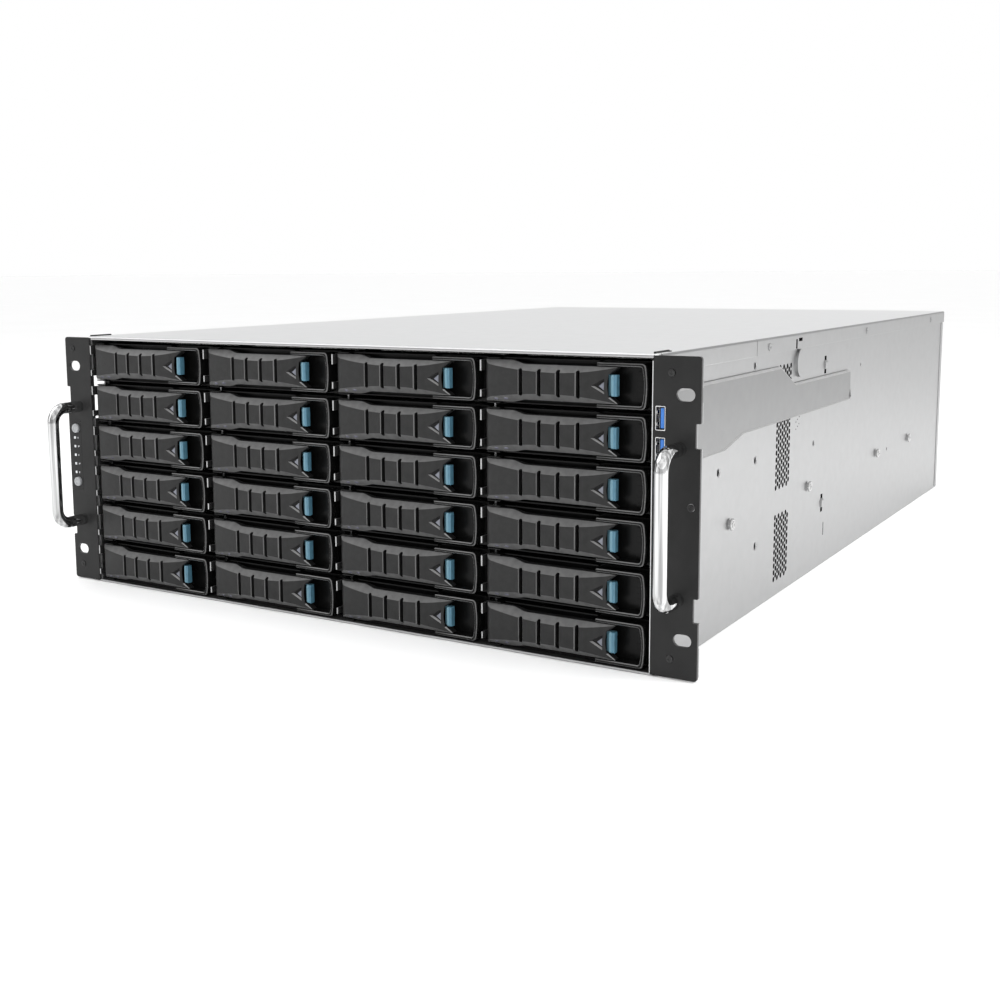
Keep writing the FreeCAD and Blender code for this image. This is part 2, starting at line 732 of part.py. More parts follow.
# Supply cage and the two slide-in supplies.
cage = new_body("cage")
cage_left = supply_bay[0][0] - d.sheet
cage_right = supply_bay[0][1] + d.sheet
shelf = d.supply_low + d.supply_height + 0.3
cage_top = d.supply_low + d.supply_pitch + d.supply_height + 0.7
cage_range = (rear - d.supply_length - 12, rear - d.sheet - 0.2)
pad(cage, "XZ", [rectangle((cage_left, cage_right), (d.sheet, cage_top + d.sheet))], *cage_range)
cage_bays = [
    rectangle(supply_bay[0], (d.sheet * 2, shelf)),
    rectangle(supply_bay[0], (shelf + d.sheet, cage_top)),
]
pocket(cage, "XZ", cage_bays, cage_range[0] - 1, cage_range[1] + 1)
node("psu_cage", cage)

for step, name in enumerate(("psu_lower", "psu_upper")):
    low = d.supply_low + d.supply_pitch * step
    left = d.supply_left
    middle = low + d.supply_height / 2
    back = rear + 0.6
    supply = new_body("supply")
    outline = rectangle((left, left + d.supply_width), (low, low + d.supply_height))
    pad(supply, "XZ", [outline], back - d.supply_length, back)
    inlet_x = left + 18
    inlet = rectangle((inlet_x - 12.2, inlet_x + 12.2), (middle - 8.4, middle + 8.4))
    pocket(supply, "XZ", [inlet], back - 16, back + 1)
    pins = []
    for offset, rise in ((-7, -3.5), (0, 3.5), (7, -3.5)):
        x = inlet_x + offset
        z = middle + rise
        pins.append(block("inlet_pin", (x - 1, x + 1), (back - 16, back - 2), (z - 2, z + 2)))
    grip_left = left + 36
    grip_right = left + 66
    handle_loop = [
        (grip_left, back),
        (grip_left + 3, back),
        (grip_left + 3, back + 18),
        (grip_right - 3, back + 18),
        (grip_right - 3, back),
        (grip_right, back),
        (grip_right, back + 21),
        (grip_left, back + 21),
    ]
    pull = new_body("supply_pull")
    pad(pull, "XY", [handle_loop], middle - 3, middle + 3)
    node(name, group(name, [supply, *pins, pull]))

# Tray pieces, drawn once about the middle of a bay.
sled = new_body("sled")
sled_half = d.drive_width / 2 + d.sled_sheet
floor_low = -d.tray_half_height
sled_section = [
    (-sled_half, floor_low),
    (sled_half, floor_low),
    (sled_half, d.sled_rail_top),
    (d.drive_width / 2, d.sled_rail_top),
    (d.drive_width / 2, floor_low + d.sled_sheet),
    (-d.drive_width / 2, floor_low + d.sled_sheet),
    (-d.drive_width / 2, d.sled_rail_top),
    (-sled_half, d.sled_rail_top),
]
pad(sled, "XZ", [sled_section], d.bezel_back, d.sled_back)
drive_low = floor_low + d.sled_sheet
drive = block(
    "drive",
    (-d.drive_width / 2, d.drive_width / 2),
    (d.drive_front, d.drive_front + d.drive_length),
    (drive_low, drive_low + d.drive_height),
)

# Bezel: black plate, finger well rim open to the left, and two ears for the lever pin.
bezel = new_body("bezel")
tray_face = rectangle((-d.tray_half_width, d.tray_half_width), (floor_low, d.tray_half_height))
pad(bezel, "XZ", [tray_face], d.bezel_front, d.bezel_back)


def rim_corners(inset, order):
    """Right-hand corners of the finger well rim, cut off at an angle."""
    side = d.rim_right - inset
    top = d.rim_half_height - inset
    nick = d.rim_corner - inset / 2
    corners = [
        (d.rim_left, -top),
        (side - nick, -top),
        (side, -top + nick),
        (side, top - nick),
        (side - nick, top),
        (d.rim_left, top),
    ]
    return corners[::order]


rim = rim_corners(as_size(0), 1) + rim_corners(d.rim_wall, -1)
pad(bezel, "XZ", [rim], face + 1, d.bezel_front)
hinge_low = d.lever_half_root + 0.3
for span in ((hinge_low, d.tray_half_height), (-d.tray_half_height, -hinge_low)):
    hinge_ear = rectangle((-d.tray_half_width, d.pivot_x + 4), (d.pivot_y - 3, d.bezel_front))
    pad(bezel, "XY", [hinge_ear], *span)
pin = rod("lever_pin", "z", d.pin_radius, (d.pivot_x, d.pivot_y, -hinge_low), hinge_low * 2)

# Lever: bowed face, knuckle at the pivot, stepped height, sloping edges, four air slots,
# a gate for the latch and a hollow behind it.
lever = new_body("lever")
knuckle = d.knuckle_radius
near = knuckle * math.cos(math.pi / 3)
far = knuckle * math.sin(math.pi / 3)
plan = [
    (d.lever_tip, d.lever_tip_face),
    (d.lever_tip, d.lever_back),
    (d.pivot_x + far, d.lever_back),
    (d.pivot_x + near, d.pivot_y + far),
    (d.pivot_x - near, d.pivot_y + far),
    (d.pivot_x - knuckle, d.pivot_y + 1),
    (d.pivot_x - knuckle, d.pivot_y - near),
    (d.pivot_x - near, d.pivot_y - knuckle),
    (-34, d.lever_tip_face - d.lever_bow * 0.66),
    (-8.4, d.lever_tip_face - d.lever_bow),
    (16, d.lever_tip_face - d.lever_bow * 0.69),
]
pad(lever, "XY", [plan], -d.lever_half_root, d.lever_half_root)

step_left = d.lever_step_left
upper_step = [
    (step_left, d.lever_half_root),
    (step_left + d.lever_step_run, d.lever_half_arm),
    (d.lever_tip + 1, d.lever_half_arm),
    (d.lever_tip + 1, d.lever_half_root + 1),
    (step_left, d.lever_half_root + 1),
]


def below(points):
    """The same loop turned over to the underside."""
    return [(p[0], -p[1], -p[2]) if len(p) > 2 else (p[0], -p[1]) for p in points]


pocket(lever, "XZ", [upper_step, below(upper_step)], -15, 15)
slope = [
    (d.lever_tip_face - 8, d.lever_half_arm - 8),
    (d.lever_tip_face + 4, d.lever_half_arm + 4),
    (d.lever_tip_face - 8, d.lever_half_arm + 4),
]
pocket(lever, "YZ", [slope, below(slope)], -60, 60)
slots = []
for step in range(4):
    x = d.vent_slot_first + d.vent_slot_pitch * step
    slots.append(
        rectangle(
            (x - d.vent_slot_width / 2, x + d.vent_slot_width / 2),
            (-d.vent_slot_half, d.vent_slot_half),
        )
    )
pocket(lever, "XZ", slots, -15, 15)
gate_half = d.latch_half_height + d.latch_play
gate = [
    (d.latch_gate, -gate_half),
    (d.latch_gate + 0.8, -gate_half),
    (d.lever_tip + 1, -gate_half - 4.7),
    (d.lever_tip + 1, gate_half + 4.7),
    (d.latch_gate + 0.8, gate_half),
    (d.latch_gate, gate_half),
]
pocket(lever, "XZ", [gate], -15, 15)
hollow = rectangle((d.latch_gate - 6.5, d.latch_gate + 1), (-gate_half, gate_half))
pocket(lever, "XZ", [hollow], -0.6, 15)
arrow = [(17.8, 0), (24.3, -3.8), (24.3, 3.8)]
pocket(lever, "XZ", [arrow], -15, -3.2)
pin_hole = rod("pin_hole", "z", d.pin_radius + d.pin_play, (d.pivot_x, d.pivot_y, -20), 40)
drilled = cut("drilled_lever", lever, [pin_hole])

# Release latch: a tongue behind the lever face and a raised thumb pad.
latch = new_body("latch")
latch_plan = [
    (d.latch_gate - 2.5, -0.2),
    (d.latch_right - 3.6, -0.2),
    (d.latch_right - 3.0, -2.9),
    (d.latch_right, -2.9),
    (d.latch_right, 2.4),
    (d.latch_gate - 2.5, 2.4),
]
pad(latch, "XY", [latch_plan], -d.latch_half_height, d.latch_half_height)

# Twenty-four bays. The right-hand column has its levers and latches as bodies of their own.
WORKING_COLUMN = 4
for row in range(1, 7):
    for column in range(1, 5):
        x = d.column_pitch * (column - 2.5)
        z = d.first_row + d.row_pitch * (6 - row)
        working = column == WORKING_COLUMN
        fitted = [sled, drive, bezel]
        fitted += [pin] if working else [lever, latch]
        bay = f"r{row}c{column}"
        members = {f"tray_{bay}": fitted}
        if working:
            members[f"lever_{bay}"] = [drilled]
            members[f"latch_{bay}"] = [latch]
        for name, pieces in members.items():
            place(node(name, group(name, pieces)), x, 0, z)

doc.recompute()
faults = []
for thing in doc.Objects:
    if "Invalid" in thing.State or "Error" in thing.State:
        faults.append(f"{thing.Name}: {thing.State}")
for name, thing in nodes.items():
    if thing.Shape.isNull() or not thing.Shape.isValid() or not thing.Shape.Solids:
        faults.append(f"{name}: bad shape")
if faults:
    raise RuntimeError("; ".join(faults))

os.makedirs("parts", exist_ok=True)
for name, thing in nodes.items():
    thing.Shape.exportStep(f"parts/{name}.step")
print(len(nodes), "parts written")
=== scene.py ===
import math

import bmesh
import bpy
from mathutils import Matrix, Vector
from mathutils.geometry import delaunay_2d_cdt

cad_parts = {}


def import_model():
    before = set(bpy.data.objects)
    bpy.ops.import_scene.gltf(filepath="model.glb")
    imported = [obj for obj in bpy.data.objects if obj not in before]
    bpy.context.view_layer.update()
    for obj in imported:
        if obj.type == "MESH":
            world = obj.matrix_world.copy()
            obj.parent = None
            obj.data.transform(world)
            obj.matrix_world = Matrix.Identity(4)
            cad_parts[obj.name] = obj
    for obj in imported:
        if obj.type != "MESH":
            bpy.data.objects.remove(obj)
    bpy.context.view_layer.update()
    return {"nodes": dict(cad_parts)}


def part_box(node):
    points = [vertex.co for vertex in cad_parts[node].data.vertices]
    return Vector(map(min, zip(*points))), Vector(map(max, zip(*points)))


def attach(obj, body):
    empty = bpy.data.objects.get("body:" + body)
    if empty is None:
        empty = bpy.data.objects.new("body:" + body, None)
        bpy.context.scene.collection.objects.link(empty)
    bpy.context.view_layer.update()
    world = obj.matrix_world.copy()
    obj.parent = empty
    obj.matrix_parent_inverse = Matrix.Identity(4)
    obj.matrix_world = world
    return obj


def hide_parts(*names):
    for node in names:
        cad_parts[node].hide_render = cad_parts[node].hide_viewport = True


# Looks of a four-unit rackmount server chassis. Sizes are in millimetres and meshes in metres.
# X runs to the right seen from the front, Y to the rear, Z up.

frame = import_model()
MM = 0.001


def cad(node):
    """Lowest and highest corner of a CAD node, in millimetres."""
    low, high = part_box(node)
    return low / MM, high / MM


# Main sizes, most of them read from the frame. Levers and latches move in the working column only.
pan_low, pan_high = cad("base_pan")
SHEET = 1.2
INNER = pan_high.x
OUTER = INNER + SHEET
FACE = pan_low.y
REAR = pan_high.y
TOP = cad("front_top_cover")[1].z
LID_UNDER = TOP - SHEET
SEAM = cad("front_top_cover")[1].y
FLANGE_LOW = cad("rear_top_cover")[0].z
EAR_EDGE = cad("right_ear")[1].x
EAR_LOW = cad("right_ear")[0].z
EAR_HIGH = cad("right_ear")[1].z
EAR_BACK = FACE + 2.0
ROW_COUNT = 6
COLUMN_COUNT = 4
WORKING_COLUMN = 4


# Shapes

class Shape:
    """Points and faces of one piece, in millimetres. Each face has the number of its material."""

    def __init__(self):
        self.points = []
        self.faces = []
        self.looks = []

    def add(self, points, faces, look=0):
        start = len(self.points)
        self.points += [Vector(p) for p in points]
        self.faces += [[start + i for i in face] for face in faces]
        self.looks += [look] * len(faces)

    def mirror(self):
        """Add the same shape on the other side of the middle plane."""
        start = len(self.points)
        self.points += [Vector((-p.x, p.y, p.z)) for p in self.points]
        self.faces += [[start + i for i in reversed(face)] for face in self.faces]
        self.looks += self.looks
        return self

    def paint(self, look, axis, above, first=0):
        """Give a look to the faces, from a first one on, that lie wholly above a place on an axis."""
        for number in range(first, len(self.faces)):
            if min(getattr(self.points[i], axis) for i in self.faces[number]) > above:
                self.looks[number] = look


def lift(axis, u, v, w):
    """A point from its place in the plane across an axis and its place along the axis."""
    return {"x": (w, u, v), "y": (u, w, v), "z": (u, v, w)}[axis]


def drop(axis, point):
    """The place of a point in the plane across an axis, and its place along the axis."""
    return (point[i] for i in {"x": (1, 2, 0), "y": (0, 2, 1), "z": (0, 1, 2)}[axis])


def wound(loop, sign):
    """The loop as a list that turns left for a sign of 1 and right for -1."""
    left_turn = sum(loop[i - 1][0] * v - u * loop[i - 1][1] for i, (u, v) in enumerate(loop))
    return list(loop) if left_turn * sign > 0 else list(reversed(loop))


INSIDE_ONLY = 2
JOIN_WITHIN = 1e-5


def plate(shape, axis, outline, low, high, holes=(), look=0, hole_look=None, rim_look=None):
    """A flat sheet with holes, from low to high along an axis. Its edges may have looks of their own."""
    loops = [wound(outline, 1)] + [wound(hole, -1) for hole in holes]
    rings = []
    start = 0
    for loop in loops:
        rings.append(list(range(start, start + len(loop))))
        start += len(loop)
    spots = [Vector(p) for loop in loops for p in loop]
    found = delaunay_2d_cdt(spots, [], rings, INSIDE_ONLY, JOIN_WITHIN)
    flat, triangles, origins = found[0], found[2], found[3]
    where = {source: index for index, sources in enumerate(origins) for source in sources}
    count = len(flat)
    points = [lift(axis, p.x, p.y, w) for w in (low, high) for p in flat]
    faces = [list(t) for t in triangles] + [[i + count for i in reversed(t)] for t in triangles]
    first = len(shape.looks) + len(faces)
    for ring in rings:
        for here, there in zip(ring, ring[1:] + ring[:1]):
            a, b = where[here], where[there]
            faces.append([b, a, a + count, b + count])
    shape.add(points, faces, look)
    for ring, own in zip(rings, [rim_look] + [hole_look] * len(holes)):
        if own is not None:
            shape.looks[first:first + len(ring)] = [own] * len(ring)
        first += len(ring)


def loft(shape, rings, look=0, closed=False, bands=()):
    """A skin through rings of points, with flat ends unless it closes on itself.

    Bands are (number, look) pairs for the strips between rings that have looks of their own.
    """
    count = len(rings[0])
    points = [p for ring in rings for p in ring]
    faces = []
    for step in range(len(rings) if closed else len(rings) - 1):
        here = step * count
        there = (step + 1) % len(rings) * count
        for i in range(count):
            j = (i + 1) % count
            faces.append([here + i, here + j, there + j, there + i])
    if not closed:
        faces.append(list(range(count)))
        faces.append(list(range(len(points) - count, len(points))))
    first = len(shape.looks)
    shape.add(points, faces, look)
    for number, own in bands:
        start = first + number * count
        shape.looks[start:start + count] = [own] * count


def box(shape, low, high, look=0):
    plate(shape, "z", rectangle((low[0], high[0]), (low[1], high[1])), low[2], high[2], (), look)


def turned(shape, axis, centre, profile, steps=24, look=0):
    """A round piece about an axis, from (radius, along) pairs."""
    u, v, w = drop(axis, centre)
    rings = []
    for radius, along in profile:
        rings.append([lift(axis, *p, w + along) for p in circle(u, v, radius, steps)])
    loft(shape, rings, look)


def tube(shape, path, radius, side, steps):
    """A round bar along a path that lies in the plane across the side direction."""
    side = Vector(side)
    rings = []
    for i, spot in enumerate(path):
        before = path[max(i - 1, 0)]
        after = path[min(i + 1, len(path) - 1)]
        normal = (Vector(after) - Vector(before)).normalized().cross(side)
        rings.append([Vector(spot) + side * u + normal * v for u, v in circle(0, 0, radius, steps)])
    loft(shape, rings)


# Round ends and corners stop just short of meeting, so that no two points fall together.
SLOT_ROUND = 0.999
CORNER_SHARE = 0.499
SHORTEST_ARC = 1e-4
NEARLY_STRAIGHT = math.pi / 2 - 0.01


def rectangle(u, v):
    return [(u[0], v[0]), (u[1], v[0]), (u[1], v[1]), (u[0], v[1])]


def circle(u, v, radius, steps=24):
    angles = [math.tau * i / steps for i in range(steps)]
    return [(u + radius * math.cos(a), v + radius * math.sin(a)) for a in angles]


def block(u, v, half_u, half_v, radius=0.0, steps=3):
    """A rectangle about a middle point, with round corners where a radius is given."""
    corners = rectangle((u - half_u, u + half_u), (v - half_v, v + half_v))
    return rounded(corners, radius, steps) if radius else corners


def slot(u, v, length, width, upright=False):
    """A slot with round ends about a middle point."""
    halves = (width / 2, length / 2) if upright else (length / 2, width / 2)
    return block(u, v, *halves, width / 2 * SLOT_ROUND, 5)


def rounded(corners, radius, steps=5):
    """An outline with its corners turned into arcs. A corner may carry a radius of its own."""
    outline = []
    count = len(corners)
    for i, corner in enumerate(corners):
        here = Vector(corner[:2])
        wanted = corner[2] if len(corner) > 2 else radius
        before = Vector(corners[i - 1][:2]) - here
        after = Vector(corners[(i + 1) % count][:2]) - here
        half = before.angle(after) / 2
        shorter = min(before.length * CORNER_SHARE, after.length * CORNER_SHARE)
        reach = min(wanted / math.tan(half), shorter)
        if wanted <= 0 or reach < SHORTEST_ARC or half > NEARLY_STRAIGHT:
            outline.append(tuple(here))
            continue
        turn_radius = reach * math.tan(half)
        start = here + before.normalized() * reach
        end = here + after.normalized() * reach
        middle = (before.normalized() + after.normalized()).normalized()
        centre = here + middle * (turn_radius / math.sin(half))
        for step in range(steps + 1):
            arm = (start - centre).slerp(end - centre, step / steps).normalized()
            outline.append(tuple(centre + arm * turn_radius))
    return outline


def smooth_step(value, low, high):
    t = min(max((value - low) / (high - low), 0.0), 1.0)
    return t * t * (3 - 2 * t)


def spread(low, high, count):
    return [low + (high - low) * i / (count - 1) for i in range(count)]


# Pieces

def new_object(name, data):
    made = bpy.data.objects.new(name, data)
    bpy.context.scene.collection.objects.link(made)
    return made


def mesh_of(name, shape, looks):
    mesh = bpy.data.meshes.new(name)
    mesh.from_pydata([p * MM for p in shape.points], [], shape.faces)
    for look in looks:
        mesh.materials.append(look)
    mesh.polygons.foreach_set("material_index", shape.looks)
    work = bmesh.new()
    work.from_mesh(mesh)
    bmesh.ops.recalc_face_normals(work, faces=work.faces)
    work.to_mesh(mesh)
    work.free()
    return mesh


def settle(made):
    """Turn the modifiers into plain mesh."""
    graph = bpy.context.evaluated_depsgraph_get()
    mesh = bpy.data.meshes.new_from_object(made.evaluated_get(graph))
    made.modifiers.clear()
    old = made.data
    made.data = mesh
    bpy.data.meshes.remove(old)
    mesh.name = made.name


BEVEL_FROM = math.radians(40)
BEVEL_STEPS = 2


def model(name, shape, looks, bevel=0.0, cuts=(), sharp=35.0):
    """An object in place: its shape, less its cuts, with its edges broken."""
    looks = looks if isinstance(looks, list) else [looks]
    made = new_object(name, mesh_of(name, shape, looks))
    for number, tool in enumerate(cuts):
        cutter = new_object(f"{name}_cut_{number}", mesh_of(f"{name}_cut", tool, looks))
        change = made.modifiers.new("cut", "BOOLEAN")
        change.operation = "DIFFERENCE"
        change.solver = "EXACT"
        change.object = cutter
        settle(made)
        bpy.data.objects.remove(cutter)
    if bevel:
        change = made.modifiers.new("bevel", "BEVEL")
        change.width = bevel * MM
        change.segments = BEVEL_STEPS
        change.limit_method = "ANGLE"
        change.angle_limit = BEVEL_FROM
        change.use_clamp_overlap = True
        settle(made)
    made.data.shade_smooth()
    made.data.set_sharp_from_angle(angle=math.radians(sharp))
    change = made.modifiers.new("normals", "WEIGHTED_NORMAL")
    change.keep_sharp = True
    settle(made)
    return made


def fit(made, body, slot_name=None, *nodes):
    """Let a piece ride on its body and stand for its nodes. The slot name is not used."""
    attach(made, body)
    if nodes:
        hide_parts(*nodes)
    return made


def copy_to(name, source, place, body, slot_name=None, *nodes):
    made = new_object(name, source.data)
    made.location = Vector(place) * MM
    return fit(made, body, slot_name, *nodes)


def dress(node, look):
    """Give a CAD node its material."""
    made = frame["nodes"][node]
    made.data.materials.clear()
    made.data.materials.append(look)


# Materials

def grey(value, tint=0.0):
    return (value * (1 - tint), value, value * (1 + tint))


def ramp(tree, source, stops):
    """A colour from a value, through (position, colour) stops."""
    made = tree.nodes.new("ShaderNodeValToRGB")
    tree.links.new(source, made.inputs["Fac"])
    elements = made.color_ramp.elements
    while len(elements) < len(stops):
        elements.new(0.5)
    for element, (position, colour) in zip(elements, stops):
        element.position = position
        element.color = (*colour, 1.0)
    return made.outputs["Color"]


BUMP_DEPTH = 0.0001


class Look:
    """A material being made: one shader and the textures that feed it."""

    def __init__(self, name, colour, roughness, metallic=0.0, specular=0.5, coat=0.0):
        self.material = bpy.data.materials.new(name)
        self.material.use_nodes = True
        self.tree = self.material.node_tree
        self.shader = self.tree.nodes["Principled BSDF"]
        self.set("Base Color", (*colour, 1.0))
        self.set("Roughness", roughness)
        self.set("Metallic", metallic)
        self.set("Specular IOR Level", specular)
        self.set("Coat Weight", coat)
        self.place = self.tree.nodes.new("ShaderNodeTexCoord").outputs["Object"]

    def set(self, name, value):
        self.shader.inputs[name].default_value = value

    def node(self, kind, links=(), **values):
        made = self.tree.nodes.new(kind)
        for name, value in values.items():
            made.inputs[name.replace("_", " ")].default_value = value
        for name, source in links:
            self.tree.links.new(source, made.inputs[name])
        return made

    def stretched(self, stretch):
        return self.node("ShaderNodeMapping", [("Vector", self.place)], Scale=stretch).outputs["Vector"]

    def noise(self, scale, detail=3.0, stretch=(1, 1, 1)):
        place = [("Vector", self.stretched(stretch))]
        return self.node("ShaderNodeTexNoise", place, Scale=scale, Detail=detail).outputs["Fac"]

    def cells(self, scale, stretch=(1, 1, 1)):
        made = self.node("ShaderNodeTexVoronoi", [("Vector", self.stretched(stretch))], Scale=scale)
        part = self.node("ShaderNodeSeparateColor", [("Color", made.outputs["Color"])])
        return part.outputs["Red"]

    def feed(self, name, source):
        self.tree.links.new(source, self.shader.inputs[name])

    def colours(self, source, *stops):
        self.feed("Base Color", ramp(self.tree, source, stops))

    def rough(self, source, low, high):
        made = self.node("ShaderNodeMapRange", [("Value", source)], To_Min=low, To_Max=high)
        self.feed("Roughness", made.outputs["Result"])

    def bump(self, source, strength):
        made = self.node("ShaderNodeBump", [("Height", source)], Strength=strength, Distance=BUMP_DEPTH)
        self.feed("Normal", made.outputs["Normal"])


def shade(colour, share):
    return tuple(c * share for c in colour)


def sheet_steel(name, level, roughness):
    """Zinc-coated sheet: faint spangle, rolled grain and a satin sheen."""
    look = Look(name, grey(level), roughness, 1.0)
    look.colours(look.cells(160), (0.0, grey(level * 0.985, 0.004)), (1.0, grey(level * 1.01, 0.004)))
    look.rough(look.noise(120, 4.0), roughness - 0.04, roughness + 0.04)
    look.bump(look.noise(900, 2.0), 0.02)
    return look.material


def black_paint():
    """Satin powder coat with a fine orange peel."""
    look = Look("black_paint", grey(0.012), 0.42, 0.0, 0.25)
    look.colours(look.noise(60), (0.3, grey(0.010)), (0.7, grey(0.015)))
    look.rough(look.noise(300), 0.38, 0.50)
    look.bump(look.noise(1800, 2.0), 0.16)
    return look.material


def charcoal_plastic(name, level):
    """Moulded plastic with a fine spark-eroded grain."""
    look = Look(name, grey(level), 0.42, 0.0, 0.23)
    look.colours(look.noise(240, 4.0), (0.3, grey(level * 0.84)), (0.7, grey(level * 1.2)))
    look.rough(look.noise(500), 0.37, 0.50)
    look.bump(look.noise(3200, 2.0), 0.22)
    return look.material


def gloss_black():
    look = Look("gloss_black", grey(0.005), 0.22, 0.0, 0.13)
    look.colours(look.noise(80), (0.3, grey(0.005)), (0.7, grey(0.008)))
    look.rough(look.noise(160), 0.16, 0.30)
    return look.material


def latch_blue(name, colour):
    look = Look(name, colour, 0.36, 0.0, 0.5)
    look.colours(look.noise(300, 4.0), (0.3, shade(colour, 0.86)), (0.7, shade(colour, 1.08)))
    look.rough(look.noise(700), 0.30, 0.42)
    look.bump(look.noise(2500, 2.0), 0.08)
    return look.material


# Dark and light streaks along the handles in the base colour: painted reflection.
def chrome_painted_reflection():
    look = Look("chrome_painted_reflection", grey(0.44, 0.004), 0.06, 1.0)
    look.colours(look.noise(420, 3.0, (1, 1, 0.02)), (0.40, grey(0.30, 0.004)), (0.60, grey(0.72, 0.004)))
    look.rough(look.noise(250, 4.0, (12, 12, 1)), 0.03, 0.10)
    return look.material


def clear_lens(name, colour):
    look = Look(name, colour, 0.12, 0.0, 0.6, 0.5)
    look.colours(look.noise(500), (0.3, shade(colour, 0.85)), (0.7, colour))
    look.rough(look.noise(400), 0.10, 0.20)
    return look.material


def plastic(name, colour, roughness):
    look = Look(name, colour, roughness)
    look.colours(look.noise(200, 4.0), (0.3, shade(colour, 0.88)), (0.7, colour))
    look.rough(look.noise(500), roughness - 0.06, roughness + 0.06)
    look.bump(look.noise(2200, 2.0), 0.08)
    return look.material


def bright_metal(name, level, roughness):
    look = Look(name, grey(level), roughness, 1.0)
    look.colours(look.noise(150, 4.0), (0.3, grey(level * 0.92)), (0.7, grey(level)))
    look.rough(look.noise(300, 3.0, (20, 1, 1)), roughness - 0.05, roughness + 0.07)
    return look.material


def circuit_board():
    """Green solder mask with straight copper tracks under it."""
    look = Look("circuit_board", (0.012, 0.11, 0.05), 0.35, 0.0, 0.5, 0.3)
    tracks = look.cells(260, (1, 1, 0.12))
    look.colours(tracks, (0.0, (0.008, 0.085, 0.036)), (0.55, (0.012, 0.11, 0.05)),
                 (0.8, (0.022, 0.15, 0.07)))
    look.rough(look.noise(200), 0.28, 0.42)
    return look.material


def pale_floor():
    look = Look("pale_floor", grey(0.95), 0.7, 0.0, 0.2)
    look.colours(look.noise(3), (0.3, grey(0.94)), (0.7, grey(0.96)))
    return look.material


STEEL = sheet_steel("galvanised_sheet", 0.44, 0.38)
# A much lighter copy of the galvanised sheet for the cover tops and the right edge strip: painted light.
LIT_COVER_STEEL = sheet_steel("galvanised_painted_light", 0.82, 0.45)
# A darker copy of the galvanised sheet for the cable covers: painted shade.
SHADED_COVER_PLATE = sheet_steel("cable_cover_painted_shade", 0.28, 0.36)
# A lighter grey for the folded edge of the cable covers: a painted highlight.
PAINTED_EDGE_HIGHLIGHT = plastic("painted_edge_highlight", grey(0.46), 0.5)
# Near-black look for the walls of holes and slots and for the sides of the divider tabs: painted shade.
PAINTED_SHADE = plastic("painted_shade_black", grey(0.008), 0.7)
SLED_STEEL = sheet_steel("sled_sheet", 0.60, 0.32)
BLACK_PAINT = black_paint()
# A grey metal look for the cut edges and hole walls of the black ears: a painted highlight.
EAR_EDGE_HIGHLIGHT = bright_metal("ear_painted_edge_highlight", 0.13, 0.45)
CHARCOAL = charcoal_plastic("charcoal_plastic", 0.018)
# Lighter copies of the charcoal plastic for the lever's upper and lower slopes: painted light.
LIT_CHARCOAL_TOP = charcoal_plastic("charcoal_painted_top_light", 0.11)
LIT_CHARCOAL_UNDER = charcoal_plastic("charcoal_painted_under_light", 0.095)
# A lighter grey for the chamfered mouths of the lever's slots: a painted highlight.
CHARCOAL_HIGHLIGHT = plastic("charcoal_painted_highlight", grey(0.15), 0.34)
GLOSS_BLACK = gloss_black()
# A lighter grey for the front chamfer of the bezel rim: a painted highlight.
BLACK_HIGHLIGHT = plastic("black_painted_highlight", grey(0.10), 0.26)
BLUE = latch_blue("latch_blue", (0.12, 0.245, 0.31))
# A darker copy of the latch blue for the ridged part of the pad: painted shade.
SHADED_BLUE = latch_blue("latch_painted_shade_blue", (0.085, 0.21, 0.29))
CHROME = chrome_painted_reflection()
SCREW = bright_metal("screw_zinc", 0.55, 0.25)
BLACK_SCREW = bright_metal("black_screw", 0.05, 0.35)
SOCKET = bright_metal("socket_nickel", 0.78, 0.18)
USB_BLUE = plastic("usb_blue", (0.035, 0.19, 0.62), 0.35)
BLACK_PLASTIC = plastic("black_plastic", grey(0.012), 0.5)
WHITE_PLASTIC = plastic("white_plastic", grey(0.62), 0.5)
GREY_BUTTON = clear_lens("grey_button", (0.36, 0.37, 0.38))
LENS = clear_lens("arrow_lens", (0.16, 0.17, 0.21))
# A grey for the lower flare of the latch gate and the lower side of the arrow recess: a painted highlight.
ARROW_HIGHLIGHT = plastic("arrow_painted_highlight", grey(0.26), 0.4)
PIPE = clear_lens("light_pipe", (0.13, 0.13, 0.17))
WHITE_LENS = clear_lens("white_lens", (0.72, 0.74, 0.76))
BOARD = circuit_board()
GOLD = bright_metal("contact_gold", 0.5, 0.25)
DRIVE_METAL = bright_metal("drive_casting", 0.30, 0.40)
SUPPLY = sheet_steel("supply_sheet", 0.52, 0.34)


# Side walls: perforated sheet with pressed features, and the edge turned out behind the ears.

VENT_PITCH = 4.75
VENT_STEP = 3.75
VENT_RADIUS = 1.9
VENT_COLUMNS = 8
VENT_FIRST = 197.3
VENT_FIELDS = ((11.5, 55.0), (74.5, 122.0), (143.5, 157.0))
ROUND_HOLES = ((89, 100, 2.8), (155, 99, 2.8), (158, 42, 2.8), (281, 95, 2.4), (151, 160, 2.8),
               (499, 64, 1.7), (404, 144, 1.5))
PIN_HOLES = [(238 + 3.4 * i, 110 + 5 * j + 1.6 * i) for j in range(2) for i in range(3)]
BRIDGES = ((40.6, 54.0), (144.0, 157.0))
BRIDGE_Y = (302.5, 307.5)
SIDE_SLOT = rectangle((310.5, 312.0), (21.8, 31.7))
L_SLOTS = (rectangle((230.0, 233.0), (166.4, 172.8)), rectangle((236.0, 244.0), (171.2, 173.4)))
LANCE = (240.0, 156.0)
LANCE_ENDS = (rectangle((241.5, 246.0), (162.4, 165.0)), rectangle((239.0, 244.0), (146.2, 148.6)))
RACK_X = 465.1 / 2
RACK_Z = (22.2, 155.55)
USB_X = 218.4
USB_BACK = 9.4
USB_WINDOW = 6.8
USB_CUT = 7.2
